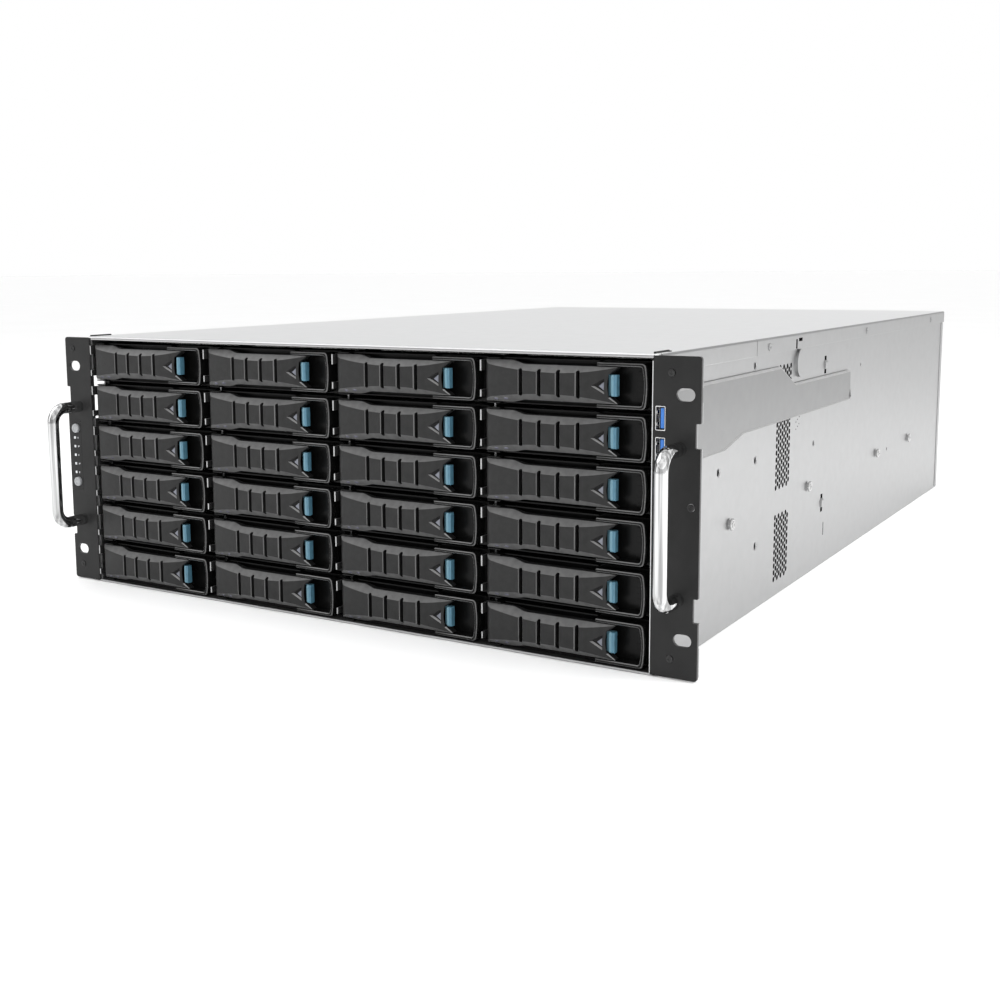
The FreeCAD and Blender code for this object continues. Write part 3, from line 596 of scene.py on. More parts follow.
USB_Z = (142.5, 125.6)
STRIP_X = (229.4, 238.2)
STRIP_Z = (66.0, 116.0)
TURNED_EDGE = EAR_EDGE - 0.1
NOTCHES = ((32.5, 46.0), (127.0, 140.5))
NOTCH_DEPTH = 2.8
RACK_CUT = 3.9
RACK_CUT_END = RACK_X - 5.6


def vents():
    holes = []
    for low, high in VENT_FIELDS:
        for column in range(VENT_COLUMNS):
            z = low + VENT_PITCH / 2 * (column % 2)
            while z < high:
                holes.append(circle(VENT_FIRST + VENT_STEP * column, z, VENT_RADIUS, 12))
                z += VENT_PITCH
    return holes


def wall_shape():
    shape = Shape()
    holes = vents() + [circle(y, z, r, 20) for y, z, r in ROUND_HOLES]
    holes += [rectangle(BRIDGE_Y, z) for z in BRIDGES] + [SIDE_SLOT, *L_SLOTS, *LANCE_ENDS]
    holes += [circle(*place, 0.6, 8) for place in PIN_HOLES]
    usb = (USB_Z[1] - USB_CUT, USB_Z[0] + USB_CUT)
    outline = [(-SHEET, 0), (REAR, 0), (REAR, LID_UNDER), (-SHEET, LID_UNDER),
               (-SHEET, usb[1]), (USB_BACK, usb[1]), (USB_BACK, usb[0]), (-SHEET, usb[0])]
    # The walls of the holes take the near-black look: painted shade.
    plate(shape, "x", outline, INNER, OUTER, holes, 0, 1)
    for y, z, radius in ROUND_HOLES:
        sink = radius * 0.2
        cone = ((radius, OUTER - 0.05), (radius - sink, OUTER - sink), (radius, OUTER - sink - 0.2))
        loft(shape, [[(x, u, v) for u, v in circle(y, z, around, 20)] for around, x in cone], 0, True)
    edge = [(OUTER, EAR_LOW + 2), (TURNED_EDGE, EAR_LOW + 2)]
    step = TURNED_EDGE - NOTCH_DEPTH
    for z, (low, high) in zip(RACK_Z, NOTCHES):
        cut = [(TURNED_EDGE, z - RACK_CUT), (RACK_CUT_END, z - RACK_CUT),
               (RACK_CUT_END, z + RACK_CUT), (TURNED_EDGE, z + RACK_CUT)]
        notch = [(TURNED_EDGE, low), (step, low), (step, high), (TURNED_EDGE, high)]
        edge += cut + notch if z < low else notch + cut
    edge += [(TURNED_EDGE, EAR_HIGH - 2), (OUTER, EAR_HIGH - 2)]
    windows = [
        rectangle((OUTER + 0.2, USB_X + 3.1), (USB_Z[1] - USB_WINDOW, USB_Z[0] + USB_WINDOW)),
        rectangle((STRIP_X[0] - 0.1, STRIP_X[1] - 0.5), (STRIP_Z[0] - 0.1, STRIP_Z[1] + 0.1)),
    ]
    plate(shape, "y", edge, -SHEET, 0, windows)
    return shape


def pressed_shape():
    """Raised bridges and the half-ring lance."""
    shape = Shape()
    for low, high in BRIDGES:
        third = (high - low) / 3
        foot, crest = OUTER - 0.6, OUTER + 1.1
        rise = [(foot, low + third - 2), (crest, low + third),
                (crest, high - third), (foot, high - third + 2)]
        plate(shape, "y", rounded(rise, 0.8), *BRIDGE_Y)
    arc = [math.radians(a) for a in spread(78, 282, 21)]
    ring = [(LANCE[0] + 8.6 * math.cos(a), LANCE[1] + 9.6 * math.sin(a)) for a in arc]
    ring += [(LANCE[0] + 1.4 + 5.6 * math.cos(a), LANCE[1] + 7.2 * math.sin(a)) for a in reversed(arc)]
    plate(shape, "x", ring, OUTER - 0.4, OUTER + 2.2)
    return shape


def slot_shade_shape():
    """Black sheets behind the narrow slots of the wall: painted shade."""
    shape = Shape()
    shade_sheets = [(outline, 0.25) for outline in (*LANCE_ENDS, SIDE_SLOT)]
    shade_sheets += [(outline, 0.1) for outline in L_SLOTS]
    shade_sheets += [(rectangle(BRIDGE_Y, z), 0.7) for z in BRIDGES]
    for outline, depth in shade_sheets:
        plate(shape, "x", outline, INNER - 0.4, OUTER - depth)
    return shape


def rear_fold_shape():
    """Rear panel edges folded forward over the ends of the walls."""
    shape = Shape()
    front, back, high = REAR - 8, REAR - 0.3, FLANGE_LOW - 0.6
    fold = [(front, 1.0, 0.8), (back, 1.0), (back, high), (front, high, 0.8)]
    plate(shape, "x", rounded(fold, 0, 3), OUTER - 0.3, OUTER + 0.6)
    return shape


fit(model("wall_sheets", wall_shape().mirror(), [STEEL, PAINTED_SHADE]), "chassis", "galvanised", "side_walls")
fit(model("wall_pressings", pressed_shape().mirror(), STEEL, 0.6), "chassis", "galvanised")
# Black sheets in the narrow slots: painted shade.
fit(model("slot_painted_shade", slot_shade_shape().mirror(), GLOSS_BLACK), "chassis")
fit(model("rear_folds", rear_fold_shape().mirror(), STEEL, 0.25), "chassis")


def cable_cover_shape():
    """Raised plate, stepped at its lower front and upper rear, sloping at the top and with a lip below."""
    low, high = cad("cable_covers")
    face = high.x - 0.6
    back = high.y - 9.5
    rings = []
    levels = ((OUTER, OUTER, 0, 0), (face - 1.2, high.x, 0, 0), (face, face, 1.6, 0.65))
    for top_x, low_x, fold, lip in levels:
        bottom = low.z + 0.8 + lip
        middle = 120.0 + lip
        top = high.z + 0.8 - fold
        step = 143.0 - fold
        corners = [(low.y, bottom), (91.5, bottom, 8), (123.5, middle, 8), (back, middle, 1.5),
                   (back, step - 0.4, 1.5), (228.5, step, 4), (197.0 - fold / 2, top, 4), (low.y, top)]
        rings.append([(top_x if z > 130 else low_x, y, z) for y, z in rounded(corners, 0)])
    shape = Shape()
    # The folded edge between the second and third rings takes the lighter look: a painted highlight.
    loft(shape, rings, bands=[(1, 1)])
    return shape


cable_covers = model("cable_cover_plates", cable_cover_shape().mirror(), [SHADED_COVER_PLATE, PAINTED_EDGE_HIGHLIGHT])
fit(cable_covers, "chassis", "galvanised", "cable_covers")


# Screws, with a cross recess in the head.

def screw(shape, axis, sign, centre, radius, height):
    """A low head on a surface, facing along an axis with a sign."""
    u, v, w = drop(axis, centre)
    arm = radius * 0.55
    half = radius * 0.14
    cross = [(arm, half), (half, half), (half, arm)]
    for _ in range(3):
        cross += [(-b, a) for a, b in cross[-3:]]
    foot, middle, face = (w + sign * along for along in (-0.4, height * 0.35, height))
    recess = [(u + a, v + b) for a, b in cross]
    plate(shape, axis, circle(u, v, radius, 20), min(middle, face), max(middle, face), [recess])
    plate(shape, axis, circle(u, v, radius * 0.98, 20), min(foot, middle), max(foot, middle))


def screws(name, places, axis, sign, radius, height, look, body):
    """A set of equal screws as one piece."""
    shape = Shape()
    for place in places:
        screw(shape, axis, sign, place, radius, height)
    return fit(model(name, shape, look, radius * 0.05), body)


# Covers: bent sheets with screws in their flanges.

COVER_BEND = 1.8
SEAM_GAP = 0.6
COVER_SCREWS = (174.5, 415.0, 649.0)


def cover_shape(low, high):
    """A sheet bent down at both sides. Its top takes a lighter copy of the sheet's look: painted light."""
    outer = OUTER + SHEET
    half = [(0, TOP), (outer, TOP, COVER_BEND), (outer, FLANGE_LOW), (OUTER, FLANGE_LOW),
            (OUTER, LID_UNDER, COVER_BEND - SHEET), (0, LID_UNDER)]
    right = rounded(half, 0)
    section = right + [(-x, z) for x, z in reversed(right) if x > 0]
    shape = Shape()
    loft(shape, [[(x, y, z) for x, z in section] for y in (low, high)])
    shape.paint(1, "z", TOP - 0.5)
    return shape


# The cut walls of these slots take the cover's near-black look: painted shade.
def flange_slots():
    shape = Shape()
    for outline in L_SLOTS:
        plate(shape, "x", outline, OUTER - 0.5, OUTER + SHEET + 1, (), 2)
    return shape.mirror()


front_cover = cover_shape(0.4, SEAM)
plate(front_cover, "z", rectangle((-OUTER, OUTER), (FACE, 0.4)), LID_UNDER, TOP, (), 1)
plate(front_cover, "y", rectangle((-OUTER + 2, OUTER - 2), (LID_UNDER - 1.3, LID_UNDER)), FACE, FACE + SHEET)
front_sheet = model("front_cover_sheet", front_cover, [STEEL, LIT_COVER_STEEL], 0.3)
fit(front_sheet, "chassis", "galvanised", "front_top_cover")
rear_cover = cover_shape(SEAM + SEAM_GAP, REAR + SHEET)
rear_sheet = model("rear_cover_sheet", rear_cover, [STEEL, LIT_COVER_STEEL, PAINTED_SHADE], 0.3, [flange_slots()])
fit(rear_sheet, "rear_cover", "galvanised", "rear_top_cover")
rear_lip = Shape()
lip_outline = rounded(rectangle((-OUTER, OUTER), (FLANGE_LOW + 2, LID_UNDER)), 1.0)
plate(rear_lip, "y", lip_outline, REAR, REAR + SHEET)
fit(model("rear_cover_lip", rear_lip, STEEL, 0.3), "rear_cover")
for side, name in ((-1, "left"), (1, "right")):
    places = [(side * (OUTER + SHEET), y, 170.5) for y in COVER_SCREWS]
    screws(f"cover_screws_{name}", places, "x", side, 2.6, 0.6, STEEL, "rear_cover")


# Ears, their screws and the pull handles.

def ear_shape(inner_edge, windows, screw_places):
    outline = [(inner_edge, EAR_LOW), (EAR_EDGE, EAR_LOW, 1.8)]
    for low, high in NOTCHES:
        inner = EAR_EDGE - NOTCH_DEPTH
        outline += [(EAR_EDGE, low, 0.7), (inner, low, 0.7), (inner, high, 0.7), (EAR_EDGE, high, 0.7)]
    outline += [(EAR_EDGE, EAR_HIGH, 1.8), (inner_edge, EAR_HIGH)]
    holes = [slot(RACK_X, z, 10.5, 7.0) for z in RACK_Z] + windows
    holes += [circle(x, z, 2.12, 24) for x, z in screw_places]
    shape = Shape()
    # The outer edge and the hole walls take the grey look: a painted highlight.
    plate(shape, "y", rounded(outline, 0, 4), FACE, EAR_BACK, holes, 0, 1, 1)
    return shape


usb_windows = [block(USB_X, z, 2.9, USB_WINDOW, 0.6) for z in USB_Z]
strip_window = rectangle((STRIP_X[0] - 0.1, STRIP_X[1] + 0.1), (STRIP_Z[0] - 0.1, STRIP_Z[1] + 0.1))
RIGHT_EAR_INNER = 214.0
RIGHT_SCREWS = ((224.5, 167.0), (236.4, 95.5), (225.5, 11.0))
LEFT_SCREWS = ((234.0, 168.0), (233.0, 11.0))
right_ear = ear_shape(RIGHT_EAR_INNER, usb_windows, RIGHT_SCREWS)
fit(model("right_ear_plate", right_ear, [BLACK_PAINT, EAR_EDGE_HIGHLIGHT], 0.2), "chassis", "ear_black", "right_ear")
left_ear = ear_shape(OUTER, [strip_window], LEFT_SCREWS)
for point in left_ear.points:
    point.x = -point.x
fit(model("left_ear_plate", left_ear, [BLACK_PAINT, EAR_EDGE_HIGHLIGHT], 0.2), "chassis", "ear_black", "left_ear")
ear_screws = [(x, FACE, z) for x, z in RIGHT_SCREWS] + [(-x, FACE, z) for x, z in LEFT_SCREWS]
screws("ear_screws", ear_screws, "y", -1, 2.0, 0.4, BLACK_SCREW, "chassis")
# Black strips at the top corners where the cover meets the ears.
CORNER_STRIP_BACK = 15.5
corner_strips = Shape()
box(corner_strips, (RIGHT_EAR_INNER, FACE, TOP - 0.3), (RIGHT_EAR_INNER + 1.4, CORNER_STRIP_BACK, TOP + 0.9))
box(corner_strips, (RIGHT_EAR_INNER, CORNER_STRIP_BACK - 3.0, TOP - 0.3), (RIGHT_EAR_INNER + 2.6, CORNER_STRIP_BACK, TOP + 0.5))
fit(model("cover_corner_black_strips", corner_strips.mirror(), BLACK_PLASTIC, 0.2), "chassis")

HANDLE_X = 229.5
HANDLE_Z = (44.5, 126.5)
GRIP_Y = FACE - 24.5
HANDLE_BEND = 10.0
HANDLE_RADIUS = 4.0


def handle_path():
    path = [(FACE + 1.0, HANDLE_Z[0]), (FACE, HANDLE_Z[0])]
    for centre_z, start in ((HANDLE_Z[0] + HANDLE_BEND, -90), (HANDLE_Z[1] - HANDLE_BEND, 180)):
        for turn in spread(start, start - 90, 13):
            a = math.radians(turn)
            y = GRIP_Y + HANDLE_BEND + HANDLE_BEND * math.cos(a)
            path.append((y, centre_z + HANDLE_BEND * math.sin(a)))
    path += [(FACE, HANDLE_Z[1]), (FACE + 1.0, HANDLE_Z[1])]
    return [(HANDLE_X, y, z) for y, z in path]


handles = Shape()
tube(handles, handle_path(), HANDLE_RADIUS, (1, 0, 0), 28)
fit(model("chrome_handles", handles.mirror(), CHROME), "chassis", "handle_chrome", "pull_handles")


# Control strip: buttons, light windows and small marks.

BUTTON_X = -234.4
BUTTONS = (("power_button", 110.4), ("reset_button", 71.6))
BUTTON_PROFILE = ((3.5, 6.0), (3.5, 0.9), (3.2, 0.25), (2.6, 0.0), (1.9, 0.1), (1.7, 0.35), (0.2, 0.35))
LIGHT_COUNT = 5
LIGHT_FIRST = 103.6
LIGHT_PITCH = 6.3


def strip_shape():
    shape = Shape()
    wells = [circle(BUTTON_X, z, 3.9, 28) for _, z in BUTTONS]
    panel = rounded(rectangle((-STRIP_X[1], -STRIP_X[0]), STRIP_Z), 0.8, 3)
    plate(shape, "y", panel, FACE - 0.02, 3.0, wells)
    for step in range(LIGHT_COUNT):
        z = LIGHT_FIRST - LIGHT_PITCH * step
        window = rounded(rectangle((-236.6, -234.8), (z - 0.9, z + 0.9)), 0.35, 3)
        plate(shape, "y", window, FACE - 0.3, FACE, (), 1)
        bars = [rectangle((-233.0, -232.5), (z - 0.6, z + 0.6)),
                rectangle((-232.1, -231.6), (z - 0.2, z + 0.6))]
        for bar in bars[:1 + step % 2]:
            plate(shape, "y", bar, FACE - 0.06, FACE, (), 1)
    return shape


strip = model("control_strip", strip_shape(), [BLACK_PAINT, WHITE_LENS], 0.12)
fit(strip, "chassis", "strip_plastic", "control_panel")
for name, z in BUTTONS:
    button = Shape()
    turned(button, "y", (BUTTON_X, FACE - 1.3, z), BUTTON_PROFILE, 32)
    fit(model(f"{name}_cap", button, GREY_BUTTON), name, "button_grey", name)


# USB sockets.

USB_BASE = 8.0


def usb_shape():
    shape = Shape()
    for z in USB_Z:
        shell = block(USB_X, z, 2.8, 6.6, 0.5)
        mouth = block(USB_X, z, 2.5, 6.2, 0.35)
        shade_lining = block(USB_X, z, 2.35, 6.05, 0.3)
        plate(shape, "y", shell, FACE - 0.2, USB_BASE, [mouth])
        # A black lining inside the metal shell: painted shade in the socket.
        plate(shape, "y", mouth, FACE + 0.4, USB_BASE, [shade_lining], 2)
        plate(shape, "y", shell, USB_BASE, USB_BASE + 1.0, (), 2)
        box(shape, (USB_X - 0.1, FACE + 0.6, z - 5.4), (USB_X + 1.8, USB_BASE, z + 5.4), 1)
        for offset in (-3.2, 3.2):
            box(shape, (USB_X - 2.6, FACE + 0.5, z + offset - 0.9), (USB_X - 2.1, 4.0, z + offset + 0.9))
    return shape


usb = model("usb_sockets", usb_shape(), [SOCKET, USB_BLUE, BLACK_PLASTIC], 0.1)
fit(usb, "chassis", "socket_metal", "usb_ports")


# Rail studs: shouldered heads with a cross recess.

STUDS = (110.0, 269.5, 462.0, 575.0)
STUD_Z = 65.0
STUD_PROFILE = ((2.6, -0.4), (2.6, 1.0), (3.8, 1.2), (3.8, 2.0), (3.3, 2.5), (1.2, 2.6))


def stud_shape():
    shape = Shape()
    for y in STUDS:
        turned(shape, "x", (OUTER, y, STUD_Z), STUD_PROFILE, 28)
        screw(shape, "x", 1, (OUTER + 2.1, y, STUD_Z), 2.2, 0.75)
    return shape


fit(model("stud_heads", stud_shape().mirror(), SCREW, 0.15), "chassis", "galvanised", "rail_studs")


# Drive cage dividers, with the tabs that show between the trays.

COLUMN_PITCH = 107.5
ROW_PITCH = 28.8
LOWEST_ROW = 14.6
DIVIDER_BACK = 188.0


def row_z(row):
    """Height of the middle of a row of trays, counted from the lowest one."""
    return LOWEST_ROW + ROW_PITCH * row


def divider_shape():
    shape = Shape()
    half = SHEET / 2
    holes = [slot(y, row_z(row), 22, 9) for y in (60, 100, 140) for row in range(ROW_COUNT)]
    sheet = rectangle((FACE + 15, DIVIDER_BACK), (SHEET, LID_UNDER - 5.0))
    for column in range(-2, 3):
        x = COLUMN_PITCH * column
        plate(shape, "x", sheet, x - half, x + half, holes)
        first = len(shape.faces)
        tab = [(x - half, FACE + 16), (x - 1.6, FACE + 1.6), (x - 1.4, FACE + 0.1), (x - 0.5, FACE + 0.1),
               (x - 0.3, FACE + 1.6), (x + half, FACE + 16)]
        for row in range(ROW_COUNT + 1 if column < 2 else 0):
            low = row_z(row) - 17.6
            if row < ROW_COUNT:
                plate(shape, "z", tab, low + 8.0, low + 12.0)
            if row > 0:
                plate(shape, "z", tab, low - 5.7, low + 0.5)
        # The right-hand faces of the tabs are near-black: painted shade for the gap beside them.
        shape.paint(1, "x", x - 0.55, first)
        for row in range(1, ROW_COUNT):
            top = row_z(row) - 13.3
            for side in (-1, 1):
                if abs(column + side * 0.5) < 2:
                    edge = sorted((x + side * half, x + side * 2.6))
                    box(shape, (edge[0], 60, top - 1), (edge[1], 181, top))
    return shape


fit(model("cage_sheets", divider_shape(), [STEEL, PAINTED_SHADE]), "chassis", "galvanised", "cage_dividers")
STRIP_EDGE = 213.3
STRIP_FRONT = FACE + 0.2
STRIP_INNER = RIGHT_EAR_INNER - 0.05
STRIP_BACK = 0.4
edge_strip = Shape()
strip_bend = [(STRIP_EDGE, STRIP_BACK), (STRIP_EDGE, STRIP_FRONT, 0.3), (STRIP_INNER, STRIP_FRONT, 0.3),
              (STRIP_INNER, EAR_BACK), (INNER + 0.4, EAR_BACK), (INNER + 0.4, STRIP_BACK)]
plate(edge_strip, "z", rounded(strip_bend, 0), 1.4, LID_UNDER - 2.8)
# The strip takes the lighter cover look: a painted highlight.
fit(model("right_edge_strip", edge_strip, LIT_COVER_STEEL), "chassis")


# Trays. Each piece is drawn once about the middle of a bay and copied to every bay.

HALF_WIDTH = 51.9
HALF_HEIGHT = 13.2
BEZEL_FRONT = 7.6
BEZEL_BACK = 22.0
RIM_FRONT = FACE + 1.0
RIM_LEFT = 19.0
RIM_RIGHT = 47.5
RIM_HALF = 12.5
RIM_WALL = 1.9
RIM_BOW = 1.2
RIM_LIP = 0.55
LEDGE_INNER = 12.4
HINGE_EAR = -43.5
GRIP_PAD = ((39.4, 44.2), (-10.0, 7.6))
GRIP_BARS = (40.2, 43.4)


def rim_line(inset, radius):
    """Finger well outline from its lower left end round the bowed right side."""
    side = RIM_RIGHT - inset
    top = RIM_HALF - inset
    corners = [(RIM_LEFT, -top, 0), (side, -top, radius)]
    for z in spread(-top + 4, top - 4, 5):
        corners.append((side + RIM_BOW * (1 - (z / top) ** 2), z, 0))
    corners += [(side, top, radius), (RIM_LEFT, top, 0)]
    return rounded(corners, 0, 5)


def bezel_shape():
    shape = Shape()
    plate(shape, "y", block(0, 0, HALF_WIDTH, HALF_HEIGHT, 0.8), BEZEL_FRONT, BEZEL_BACK)
    rings = []
    for y, lip in ((BEZEL_FRONT + 0.2, 0), (RIM_FRONT + 0.5, 0), (RIM_FRONT, RIM_LIP)):
        line = rim_line(lip, 2.6 - lip) + list(reversed(rim_line(RIM_WALL - lip, 1.6 + lip)))
        rings.append([(x, y, z) for x, z in line])
    # The rim's front chamfer band takes the lighter look: a painted highlight.
    loft(shape, rings, bands=[(1, 1)])
    for side in (-1, 1):
        ledge = sorted((side * LEDGE_INNER, side * HALF_HEIGHT))
        box(shape, (-HALF_WIDTH, -0.6, ledge[0]), (HINGE_EAR, BEZEL_FRONT + 0.2, ledge[1]))
        box(shape, (HINGE_EAR + 0.5, 3.4, ledge[0]), (RIM_LEFT - 1, BEZEL_FRONT + 0.2, ledge[1]))
    plate(shape, "y", rounded(rectangle(*GRIP_PAD), 0.8, 3), BEZEL_FRONT - 1.0, BEZEL_FRONT + 0.2)
    for z in spread(-7.6, 5.2, 5):
        plate(shape, "y", rectangle(GRIP_BARS, (z - 0.4, z + 0.4)), BEZEL_FRONT - 1.3, BEZEL_FRONT - 0.9)
    return shape


# Lever: bowed face, sloping edges, stepped height and a knuckle at the pivot.

PIVOT = (-47.5, 2.4)
KNUCKLE = 3.2
KNUCKLE_REACH = 5.8
LEVER_TIP = 31.2
TIP_FACE = -1.6
LEVER_BACK = 3.0
CROWN_X = -6.0
CROWN_Y = -6.0
ROOT_FALL = 3.1
TIP_FALL = TIP_FACE - 0.35 - CROWN_Y
HALF_ROOT = 12.1
HALF_ARM = 10.2
WAIST = (-36.0, -25.0)
ROUND_END = 0.985
SLOT_COUNT = 4
SLOT_FIRST = -27.6
SLOT_PITCH = 12.1
SLOT_WIDTH = 2.4
SLOT_LENGTH = 15.6


def lever_face(x):
    """Depth of the lever's face at a place along it."""
    if x < PIVOT[0]:
        across = min((PIVOT[0] - x) / KNUCKLE_REACH, ROUND_END)
        return PIVOT[1] - (PIVOT[1] - lever_face(PIVOT[0])) * math.sqrt(1 - across * across)
    if x < CROWN_X:
        return CROWN_Y + ROOT_FALL * ((CROWN_X - x) / (CROWN_X - PIVOT[0])) ** 2
    return CROWN_Y + TIP_FALL * ((x - CROWN_X) / (LEVER_TIP - CROWN_X)) ** 2


def lever_rear(x):
    across = (PIVOT[0] - x) / KNUCKLE_REACH if x < PIVOT[0] else (x - PIVOT[0]) / KNUCKLE
    if across >= 1:
        return LEVER_BACK
    bulge = PIVOT[1] + KNUCKLE * math.sqrt(1 - min(across, ROUND_END) ** 2)
    return bulge if x < PIVOT[0] else max(bulge, LEVER_BACK)


def lever_half(x):
    return HALF_ROOT + (HALF_ARM - HALF_ROOT) * smooth_step(x, *WAIST)


def lever_ring(x):
    """Section of the lever across its length, with its edges rounded."""
    half = lever_half(x)
    face = lever_face(x)
    shoulder = min(TIP_FACE + half - HALF_ARM, face + 6.2)
    shoulder = max(shoulder, face + 0.3)
    band = half - (shoulder - face) * 0.98
    rear = max(lever_rear(x), shoulder + 0.6)
    ring = [(rear, -half, 0.3), (shoulder, -half, 0.45), (face, -band, 0.6),
            (face, band, 0.6), (shoulder, half, 0.45), (rear, half, 0.3)]
    return [(x, y, z) for y, z in rounded(ring, 0, 3)]


def lever_shape():
    stations = [PIVOT[0] - KNUCKLE_REACH * math.sin(a) for a in spread(1.45, 0.0, 8)]
    stations += spread(PIVOT[0] + 1, LEVER_TIP, 64)
    shape = Shape()
    rings = [lever_ring(x) for x in stations]
    loft(shape, rings)
    count = len(rings[0])
    for step in range(len(rings) - 1):
        # The slopes below and above the face take lighter copies of the charcoal look: painted light.
        for corner, look in ((2, 5), (4, 4)):
            shape.looks[step * count + corner * count // 6 - 1] = look
    return shape


GATE = 26.3
GATE_HALF = 6.3
GATE_FLARE = 0.76
LOWER_FLARE = 13
LIP = 0.28
CUT_BACK = 15
ARROW_TIP = 16.5
ARROW_END = 24.0
ARROW_HALF = 4.3
ARROW_Z = -0.4


def slot_rings(x):
    """A slot through the lever, wider at the face."""
    face = lever_face(x)
    rings = []
    for y, grow in ((CUT_BACK, 0), (face + 0.5, 0), (face, 0.35), (face - 2.0, 1.75)):
        outline = slot(x, 0, SLOT_LENGTH + 2 * grow, SLOT_WIDTH + 2 * grow, True)
        rings.append([(u, y, v) for u, v in outline])
    return rings


def gate_ring(depth, grow):
    """Outline of the latch gate, grown all round, at a depth below the lever's face."""
    left = GATE - grow
    half = GATE_HALF + grow * 0.6
    end = LEVER_TIP + 3
    mouth = half + GATE_FLARE * (end - left - 0.4)
    outline = [(left - 0.6, 0, 14), (left + 0.4, -half, 0.6), (end, -mouth, 0), (end, mouth, 0),
               (left + 0.4, half, 0.6)]
    return [(x, lever_face(min(x, LEVER_TIP)) + depth, z) for x, z in rounded(outline, 0, 6)]


def lever_cuts():
    """What is cut from the lever: slots, latch gate, the room for the latch and the arrow."""
    slots = Shape()
    # The chamfered mouths of the slots take the lighter look: a painted highlight.
    for step in range(SLOT_COUNT):
        loft(slots, slot_rings(SLOT_FIRST + SLOT_PITCH * step), bands=[(1, 3), (2, 3)])
    gate = Shape()
    rings = [gate_ring(depth, grow) for depth, grow in ((CUT_BACK, 0), (0.6, 0), (0, 0.6), (-3, 3.6))]
    loft(gate, rings)
    # The lower flare of the gate takes the grey look: a painted highlight.
    for band in (1, 2):
        gate.looks[band * len(rings[0]) + LOWER_FLARE] = 1
    hollow = Shape()
    box(hollow, (GATE - 6.5, -0.6, -GATE_HALF + 0.1), (GATE + 1.5, CUT_BACK, GATE_HALF - 0.1))
    under_lip = Shape()
    ends = (ARROW_END + 0.08, GATE + 1.5)
    lip = [(x, lever_face(x) + LIP) for x in spread(*ends, 7)] + [(ends[1], 14.5), (ends[0], 14.5)]
    plate(under_lip, "z", lip, -GATE_HALF + 0.12, GATE_HALF - 0.12)
    arrow = Shape()
    loft(arrow, [arrow_ring(grow, depth) for grow, depth in ((0.6, -0.6), (0.0, 0.0), (-0.7, 1.1))])
    # The lower side of the recess is grey, a painted highlight, and its floor is black, painted shade.
    arrow.looks[3] = 1
    arrow.looks[-1] = 2
    return [slots, gate, hollow, under_lip, arrow]


def arrow_ring(grow, depth):
    """Triangle of the arrow recess, grown all round its sloping sides, at a depth below the lever's face."""
    tip = ARROW_TIP - grow * 2.0
    half = ARROW_HALF * (ARROW_END - tip) / (ARROW_END - ARROW_TIP)
    corners = [(tip, ARROW_Z), (ARROW_END, ARROW_Z - half), (ARROW_END, ARROW_Z + half)]
    return [(x, lever_face(x) + depth, z) for x, z in corners]


def arrow_lens_shape():
    """A lens at the wide end of the arrow recess."""
    shape = Shape()
    rings = []
    for inset, depth in ((0.0, 1.6), (0.0, 0.75), (0.2, 0.6)):
        end, half = 23.6 - inset, 2.4 - inset
        corners = [(20.6 + inset * 2, ARROW_Z), (end, ARROW_Z - half), (end, ARROW_Z + half)]
        rings.append([(x, lever_face(x) + depth, z) for x, z in corners])
    loft(shape, rings)
    return shape


PIPE_X = (-45.2, -38.4)
DIAGONAL = 0.7071


def light_pipe_shape():
    """Two small light pipe ends on the lower slope of the lever."""
    shape = Shape()
    for x in PIPE_X:
        face = lever_face(x)
        half = lever_half(x)
        shoulder = TIP_FACE + half - HALF_ARM
        y = (face + shoulder) / 2
        z = -(half + half - (shoulder - face)) / 2
        across = Vector((0, -1, -1)).normalized()
        rings = []
        for radius, rise in ((0.95, -0.8), (0.95, 0.1), (0.6, 0.3)):
            ring = []
            for u, v in circle(0, 0, radius, 14):
                ring.append(Vector((x + u * 1.5, y, z)) + Vector((0, -v, v)) * DIAGONAL + across * rise)
            rings.append(ring)
        loft(shape, rings)
    return shape


LATCH_LEFT = 25.0
LATCH_EDGE = 26.9
LATCH_RIGHT = 31.1
LATCH_BAND = 29.1
LATCH_HALF = 5.9
RIDGES = 0.55
RIDGE_HEIGHT = 0.32


def latch_shape():
    """Blue thumb pad: rounded left edge, a rising face and upright grip ridges."""
    shape = Shape()
    box(shape, (LATCH_LEFT, 0.2, -LATCH_HALF), (LATCH_RIGHT - 1, 2.4, LATCH_HALF))
    rings = []
    for x in spread(LATCH_EDGE, LATCH_RIGHT, 40):
        t = (x - LATCH_EDGE) / (LATCH_RIGHT - LATCH_EDGE)
        half = LATCH_HALF - 1.0 * (1 - smooth_step(t, -0.05, 0.25))
        face = -0.6 - 2.0 * smooth_step(t, -0.3, 0.32)
        if t > RIDGES:
            wave = math.cos((t - RIDGES) / (1 - RIDGES) * math.tau * 2)
            face -= RIDGE_HEIGHT * (0.5 - 0.5 * wave)
        ring = [(1.0, -half, 0), (face + 0.5, -half, 0.25), (face, -half + 0.7, 0.4), (face, half - 0.7, 0.4),
                (face + 0.5, half, 0.25), (1.0, half, 0)]
        rings.append([(x, y, z) for y, z in rounded(ring, 0, 3)])
    loft(shape, rings)
    # The ridged part takes the darker blue: painted shade.
    shape.paint(1, "x", LATCH_BAND)
    return shape


# Sled and drive.

SLED_BACK = 181.0
RAIL_TOP = 8.0
DRIVE_FRONT = 32.0
DRIVE_BACK = 179.0
DRIVE_HALF = 50.8
DRIVE_LOW = -12.3
DRIVE_TOP = 13.8


